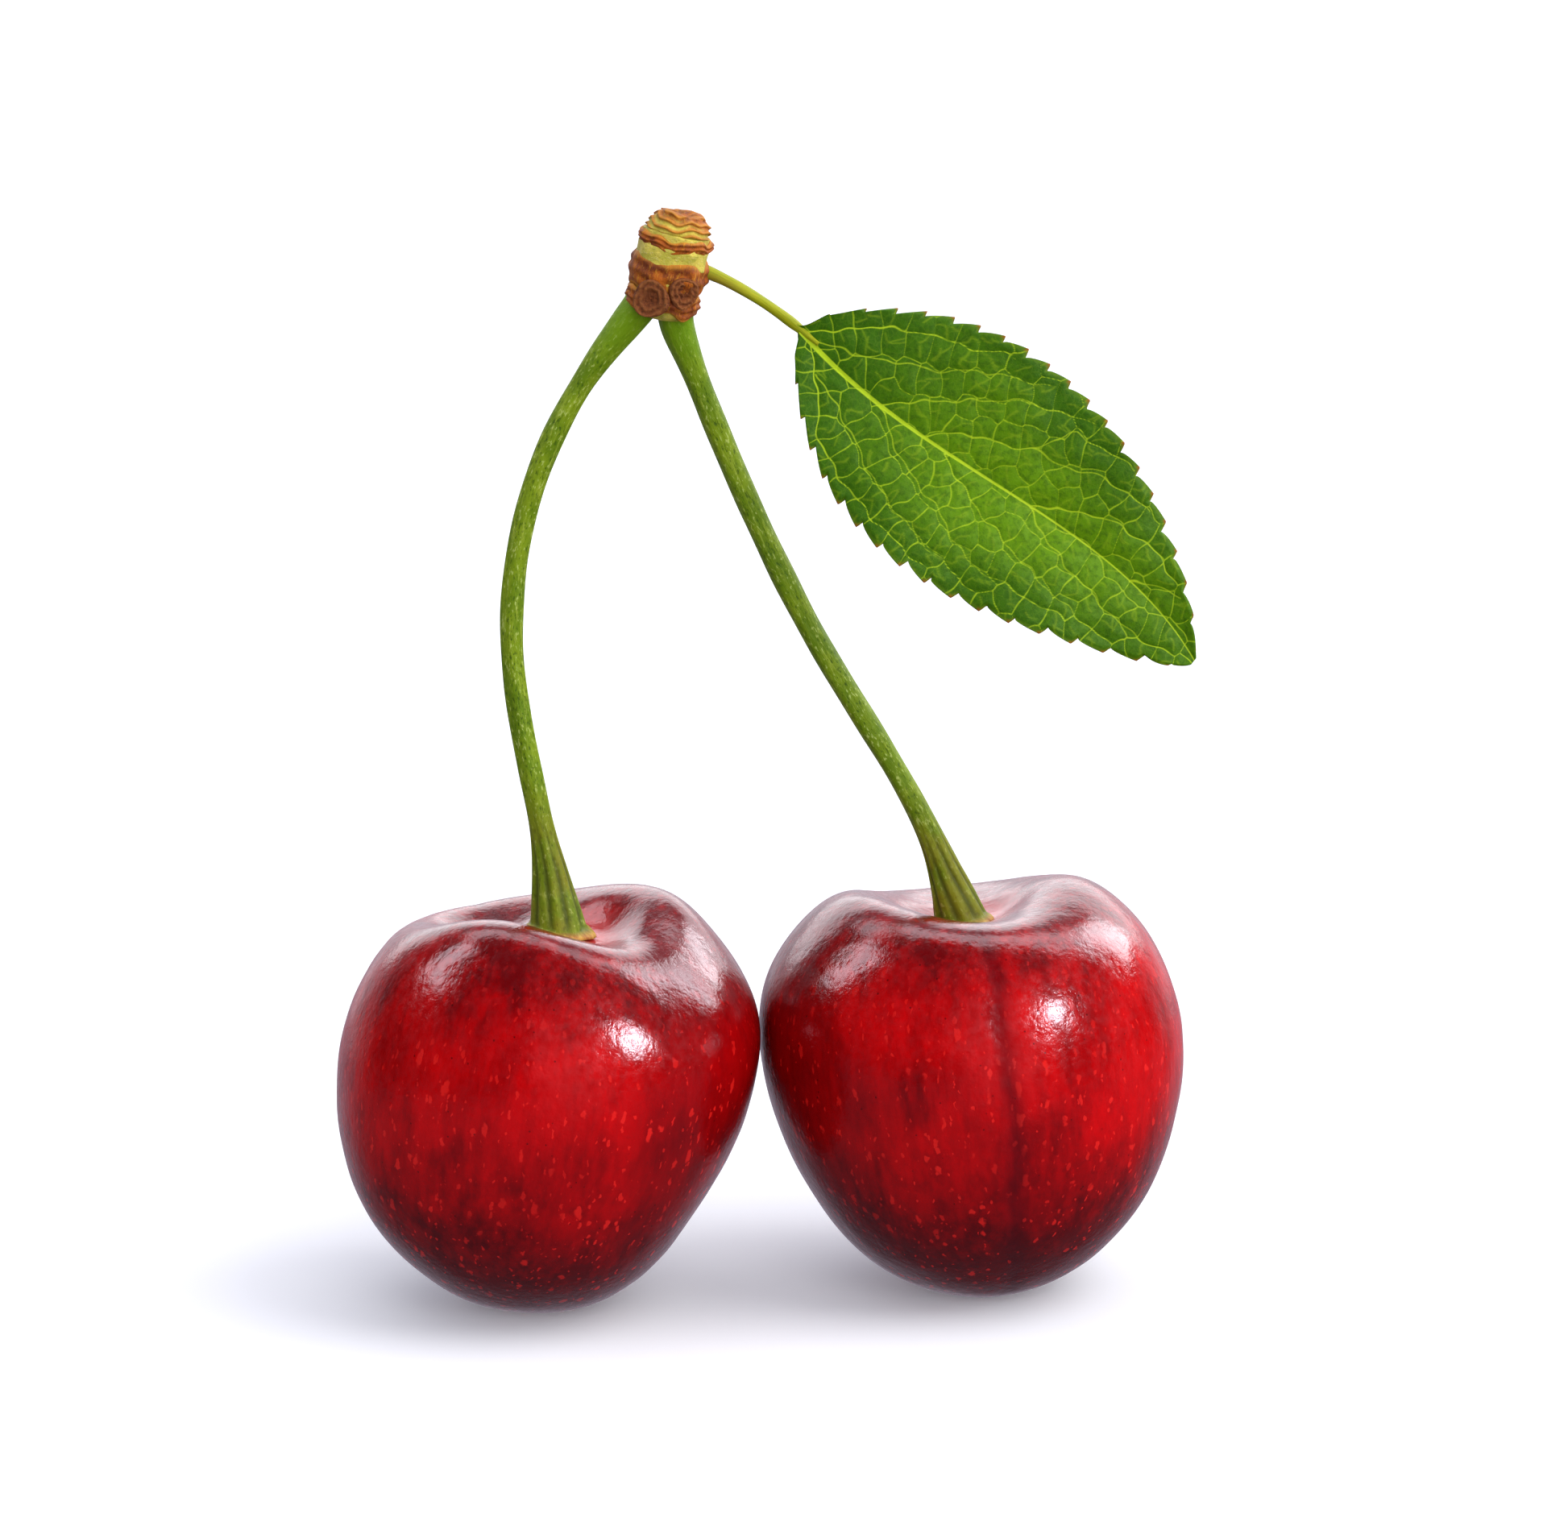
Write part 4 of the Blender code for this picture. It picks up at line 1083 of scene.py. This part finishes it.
class CHERRY_OT_stage(bpy.types.Operator):
    """Lay the pale floor, hang the soft lights and set up the camera"""

    bl_idname = "cherry.stage"
    bl_label = "Stage"

    def execute(self, context):
        settings = context.scene.cherry_stage
        bpy.ops.mesh.primitive_plane_add(size=settings.floor_side, location=(0, 0, 0))
        floor = context.object
        floor.name = "floor"
        paper = Shader("white_paper")
        grain = paper.noise(paper.add("ShaderNodeTexCoord").outputs["Object"], 60.0, 2.0)
        tone = paper.blend(grain, (0.89, 0.89, 0.90), (0.91, 0.91, 0.92))
        floor.data.materials.append(paper.set(
            Base_Color=tone, Roughness=0.9, Specular_IOR_Level=0.1,
            Emission_Color=(0.90, 0.88, 1.0), Emission_Strength=0.16,
        ))
        # The floor glows a little to keep its shadow pale, and neither lights nor shows in the fruit.
        floor.visible_glossy = False
        floor.visible_diffuse = False

        target = Vector(set_down(np.array((0.0, 0.0, LOOKED_AT_HEIGHT))))
        for name, bearing, distance, size, brightness in BOXES:
            self.light(name, target, bearing, distance, size, brightness)
        for name, bearing, strength, spread in SUNS:
            self.sun(name, bearing, strength, spread)
        self.sky(context.scene)

        camera = bpy.data.objects.new("camera", bpy.data.cameras.new("camera"))
        context.collection.objects.link(camera)
        back = Vector((0.0, -math.cos(settings.elevation), math.sin(settings.elevation)))
        camera.location = target + back * settings.distance
        camera.rotation_euler = back.to_track_quat("Z", "Y").to_euler()
        camera.data.sensor_width = 36.0
        camera.data.lens = camera.data.sensor_width * settings.distance / settings.view_width
        camera.data.clip_start = 0.01
        camera.data.clip_end = 20.0
        context.scene.camera = camera
        context.scene.view_settings.view_transform = "Standard"
        return {"FINISHED"}

    def way(self, bearing, elevation):
        """A direction from the fruit: bearing from the front towards the right, and height above level."""
        turn, rise = math.radians(bearing), math.radians(elevation)
        return Vector((math.cos(rise) * math.sin(turn), -math.cos(rise) * math.cos(turn), math.sin(rise)))

    def light(self, name, target, bearing, distance, size, brightness):
        """A soft box that only shows as a shine, as bright as is asked wherever it is mirrored."""
        lamp = bpy.data.lights.new(name, "AREA")
        lamp.shape = "RECTANGLE"
        lamp.size, lamp.size_y = size
        lamp.energy = brightness * math.pi * size[0] * size[1]
        made = bpy.data.objects.new(name, lamp)
        made.visible_diffuse = False
        way = self.way(*bearing)
        made.location = target + way * distance
        made.rotation_euler = way.to_track_quat("Z", "Y").to_euler()
        bpy.context.collection.objects.link(made)

    def sun(self, name, bearing, strength, spread):
        """Even light from one side that leaves no shine."""
        lamp = bpy.data.lights.new(name, "SUN")
        lamp.energy = strength
        lamp.angle = math.radians(spread)
        made = bpy.data.objects.new(name, lamp)
        made.rotation_euler = self.way(*bearing).to_track_quat("Z", "Y").to_euler()
        made.visible_glossy = False
        bpy.context.collection.objects.link(made)

    def sky(self, scene):
        """White all round to the eye; matt surfaces see it dimmer below, gloss sees it mostly behind."""
        world = bpy.data.worlds.new("studio")
        scene.world = world
        world.use_nodes = True
        tree = world.node_tree
        tree.nodes.clear()
        rays = tree.nodes.new("ShaderNodeLightPath")
        parts = tree.nodes.new("ShaderNodeSeparateXYZ")
        tree.links.new(tree.nodes.new("ShaderNodeTexCoord").outputs["Generated"], parts.inputs[0])

        def background(colour, strength, way=None, span=()):
            made = tree.nodes.new("ShaderNodeBackground")
            made.inputs["Color"].default_value = (*colour, 1.0)
            made.inputs["Strength"].default_value = strength
            if way:
                ramp = tree.nodes.new("ShaderNodeMapRange")
                ramp.interpolation_type = "SMOOTHSTEP"
                for name, number in zip(("From Min", "From Max", "To Min", "To Max"), span):
                    ramp.inputs[name].default_value = number
                tree.links.new(parts.outputs[way], ramp.inputs["Value"])
                tree.links.new(ramp.outputs["Result"], made.inputs["Strength"])
            return made.outputs[0]

        def choose(share, otherwise, chosen):
            made = tree.nodes.new("ShaderNodeMixShader")
            tree.links.new(share, made.inputs[0])
            tree.links.new(otherwise, made.inputs[1])
            tree.links.new(chosen, made.inputs[2])
            return made.outputs[0]

        below = tree.nodes.new("ShaderNodeMapRange")
        for name, number in (("From Min", -0.10), ("From Max", -0.16), ("To Min", 0.0), ("To Max", 1.0)):
            below.inputs[name].default_value = number
        tree.links.new(parts.outputs["Z"], below.inputs["Value"])
        lower = below.outputs["Result"]
        matt = background((0.80, 0.84, 1.0), 0.4, "Z", (-0.6, 0.3, 0.16, 0.58))
        gloss = choose(
            lower, background((0.95, 0.90, 1.0), 0.4, "Y", (0.30, 0.98, 0.004, 1.0)),
            background((0.95, 0.82, 1.0), 0.4, "Y", (0.30, 0.98, 0.13, 0.45)),
        )
        seen = background((1.0, 1.0, 1.0), 1.0)
        unseen = choose(rays.outputs["Is Glossy Ray"], matt, gloss)
        chosen = choose(rays.outputs["Is Camera Ray"], unseen, seen)
        tree.links.new(chosen, tree.nodes.new("ShaderNodeOutputWorld").inputs["Surface"])


class CHERRY_OT_fruit(bpy.types.Operator):
    """Shape the two fruit and give them their skin"""

    bl_idname = "cherry.fruit"
    bl_label = "Fruit"

    def execute(self, context):
        make_fruit("cherry_left_skin", LEFT_FRUIT, ["cherry_left"])
        make_fruit("cherry_right_skin", RIGHT_FRUIT, ["cherry_right"])
        return {"FINISHED"}


class CHERRY_OT_stalks(bpy.types.Operator):
    """Draw the two long stalks from the fruit up to the spur"""

    bl_idname = "cherry.stalks"
    bl_label = "Stalks"

    def execute(self, context):
        make_stalk("stalk_left_rind", LEFT_STALK, LEFT_FRUIT, ["stalk_left"], 1.7)
        make_stalk("stalk_right_rind", RIGHT_STALK, RIGHT_FRUIT, ["stalk_right"], 4.2)
        return {"FINISHED"}


class CHERRY_OT_spur(bpy.types.Operator):
    """Build the woody spur with its dry scales and scars"""

    bl_idname = "cherry.spur"
    bl_label = "Spur"

    def execute(self, context):
        settings = context.scene.cherry_spur
        make_spur_bark()
        dry = scale_surface(settings)
        for place, low, high, outer, flare, waves, seed in COLLARS:
            name, node = f"collar_{place}", f"scale_collar_{place}"
            make_collar(name, low, high, outer, flare, waves, seed, dry, [node])
        make_crown(dry)
        for name, height, bearing, reach, size, tilt, seed in SCARS:
            make_scar(name, height, bearing, reach, size, tilt, seed)
        return {"FINISHED"}


class CHERRY_OT_leaf_stalk(bpy.types.Operator):
    """Draw the leaf's own stalk"""

    bl_idname = "cherry.leaf_stalk"
    bl_label = "Leaf stalk"

    def execute(self, context):
        settings = context.scene.cherry_leaf
        piece = rod("leaf_stalk_rind", 48, 120)
        points = points_of(piece)
        raw = [bezier(LEAF_STALK_PATH, step / 60) for step in range(61)]
        into_blade = leaf_turn()[:, 0]
        proud = leaf_turn()[:, 2] * 0.22
        raw = np.array(raw + [raw[-1] + (into_blade + proud) * reach for reach in np.linspace(0.1, 1.5, 15)])
        line, walked = even_line(raw, 120)
        height = points[:, 2] * walked[-1]
        angle = np.arctan2(points[:, 1], points[:, 0])
        radius = 0.34 + 0.10 * smooth_step((2.2 - height) / 2.2) + 0.02 * np.sin(2 * angle + height)
        radius *= 1.0 - 0.62 * smooth_step((height - walked[-1] + 2.4) / 2.4)
        radius -= 0.08 * bell((angle + math.pi) % math.tau - math.pi * 1.5, 0.0, 0.5)
        keep_value(piece, "flow", np.stack([(angle + math.pi) * 0.4, height, radius], axis=1))
        rounded = np.stack([points[:, 0] * radius, points[:, 1] * radius, points[:, 2]], axis=1)
        move_points(piece, set_down(along_path(rounded, line)))
        stem = Shader("leaf_stalk")
        flow = stem.vector_of("flow")
        fibres = stem.noise(stem.scaled(flow, (7.0, 0.7, 1.0)), 1.0, 4.0, 0.6)
        colour = stem.blend(stem.between(fibres, 0.4, 0.68), settings.stem[:], (0.25, 0.30, 0.006))
        top = stem.parts(flow)[0]
        early = stem.between(stem.parts(flow)[1], 2.0, 4.5, 0.5, 0.0)
        browned = stem.math("MULTIPLY", stem.between(top, 0.2, 0.9), early)
        colour = stem.blend(browned, colour, (0.28, 0.16, 0.03))
        normal = stem.bump(fibres, 0.00006, 0.7)
        surface = stem.set(Base_Color=colour, Roughness=0.5, Normal=normal, Specular_IOR_Level=0.12)
        complete(piece, surface, ["leaf_stalk"])
        return {"FINISHED"}


class CHERRY_OT_leaf_blade(bpy.types.Operator):
    """Cut the toothed blade, raise its fields between the veins and thicken it"""

    bl_idname = "cherry.leaf_blade"
    bl_label = "Leaf blade"

    def execute(self, context):
        settings = context.scene.cherry_leaf
        long_way, face_way, under_way = LEAF_GRID
        piece, share, side, top = sheet_grid("leaf_blade_net", long_way, face_way, under_way)
        upper, upper_tip = toothed_reach(share, 1)
        lower, lower_tip = toothed_reach(share, -1)
        sway = midrib_sway(share)
        rim = np.where(side > 0, upper, -lower)
        above, below = edge_distance(LEAF_UPPER_EDGE, share), edge_distance(LEAF_LOWER_EDGE, share)
        flat_rim = np.where(side > 0, above, -below)
        size = np.abs(side)
        inner = sway + (flat_rim * 0.93 - sway) * size
        pull = size**10
        held_rim = np.where(np.abs(rim) > 0.10, rim, np.sign(side) * 0.10)
        across = inner * (1 - pull) + pull * held_rim
        along = share * LEAF_LENGTH + 0.35 * pull * smooth_step((1 - share) / 0.1) * smooth_step(share / 0.05)
        flat = np.stack([along, across], axis=1)

        dice = np.random.default_rng(14)
        ribs = [smooth_line(vein, 10) for vein in UPPER_VEINS + LOWER_VEINS]
        seeds = vein_seeds(ribs, dice)
        bent = flat + 0.10 * np.stack(
            [np.sin(flat[:, 1] * 2.3 + flat[:, 0] * 1.1), np.sin(flat[:, 0] * 2.0 - flat[:, 1] * 0.7)], axis=1
        )
        zig, zag = flat[:, 0] * 4.1 + flat[:, 1] * 2.0, flat[:, 0] * 3.7 - flat[:, 1] * 1.6 + 0.8
        bent += 0.07 * np.stack([np.sin(zig), np.sin(zag)], axis=1)
        net, cell = field_edges(bent, seeds)
        rib = np.full(len(flat), 1e9)
        for line in ribs:
            gap, walked = distance_to_line(bent, line)
            rib = np.minimum(rib, gap - (VEIN_HALF_WIDTH - VEIN_THINNING * walked))
        shares = np.linspace(-0.01, 1.0, 60)
        midrib = np.stack([shares * LEAF_LENGTH, midrib_sway(shares)], axis=1)
        gap, walked = distance_to_line(flat, midrib)
        rib = np.minimum(rib, gap - (MIDRIB_HALF_WIDTH * (1.0 - walked) ** 1.7 + MIDRIB_LEAST))
        small = veinlets(bent, cell, seeds, dice)

        puff = 0.07 * (1.0 - np.exp(-np.clip(net, 0, None) / 0.30))
        puff += 0.10 * (1.0 - np.exp(-np.clip(rib, 0, None) / 0.8))
        puff += 0.05 * wobble(np.stack([flat[:, 0], flat[:, 1], 0 * share], axis=1), 3.0, 77)
        calm = smooth_step((1.0 - size) / 0.08) * smooth_step(share / 0.05)
        out = -0.7 * (1.0 - size) ** 2 * np.sin(math.pi * share)
        out += 1.0 * np.sin(math.pi * share) - 0.9 * share**4
        out += 0.22 * np.sin(share * 21.0 + side) * size**3 + puff * calm
        out += np.where(top, 0.5, -0.5) * settings.thickness / MM
        keep_value(piece, "place", np.stack([flat[:, 0], flat[:, 1], out], axis=1))
        keep_value(piece, "net", net)
        keep_value(piece, "rib", rib)
        keep_value(piece, "veinlet", small * top)
        keep_value(piece, "main", np.clip(1.4 - gap / 0.35, 0.0, 1.0))
        keep_value(piece, "edge", size)
        keep_value(piece, "under", 1.0 - top)
        tips = np.where(side > 0, upper_tip, lower_tip) * smooth_step((size - 0.96) / 0.04)
        keep_value(piece, "gland", np.clip(tips, 0, 1))
        shaped = np.stack([flat[:, 0], flat[:, 1], out], axis=1)
        move_points(piece, set_down(shaped @ leaf_turn().T + np.array(LEAF_BASE)))
        complete(piece, blade_surface(settings), ["leaf_blade"])
        return {"FINISHED"}


class CHERRY_PT_panel(bpy.types.Panel):
    """The steps that make the cherries"""

    bl_idname = "CHERRY_PT_panel"
    bl_label = "Cherries"
    bl_space_type = "VIEW_3D"
    bl_region_type = "UI"
    bl_category = "Cherries"

    def draw(self, context):
        for step in STEPS:
            self.layout.operator(step.bl_idname)


STEPS = (
    CHERRY_OT_stage, CHERRY_OT_fruit, CHERRY_OT_stalks,
    CHERRY_OT_spur, CHERRY_OT_leaf_stalk, CHERRY_OT_leaf_blade,
)
SETTINGS = {
    "cherry_fruit": FruitSettings, "cherry_stalks": StalkSettings, "cherry_spur": SpurSettings,
    "cherry_leaf": LeafSettings, "cherry_stage": StageSettings,
}


def register():
    for name, group in SETTINGS.items():
        bpy.utils.register_class(group)
        setattr(bpy.types.Scene, name, bpy.props.PointerProperty(type=group))
    for step in (*STEPS, CHERRY_PT_panel):
        bpy.utils.register_class(step)


def unregister():
    for step in reversed((*STEPS, CHERRY_PT_panel)):
        bpy.utils.unregister_class(step)
    for name, group in reversed(SETTINGS.items()):
        delattr(bpy.types.Scene, name)
        bpy.utils.unregister_class(group)


def main():
    register()
    for step in STEPS:
        group, action = step.bl_idname.split(".")
        getattr(getattr(bpy.ops, group), action)()
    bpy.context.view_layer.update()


if __name__ == "__main__":
    main()
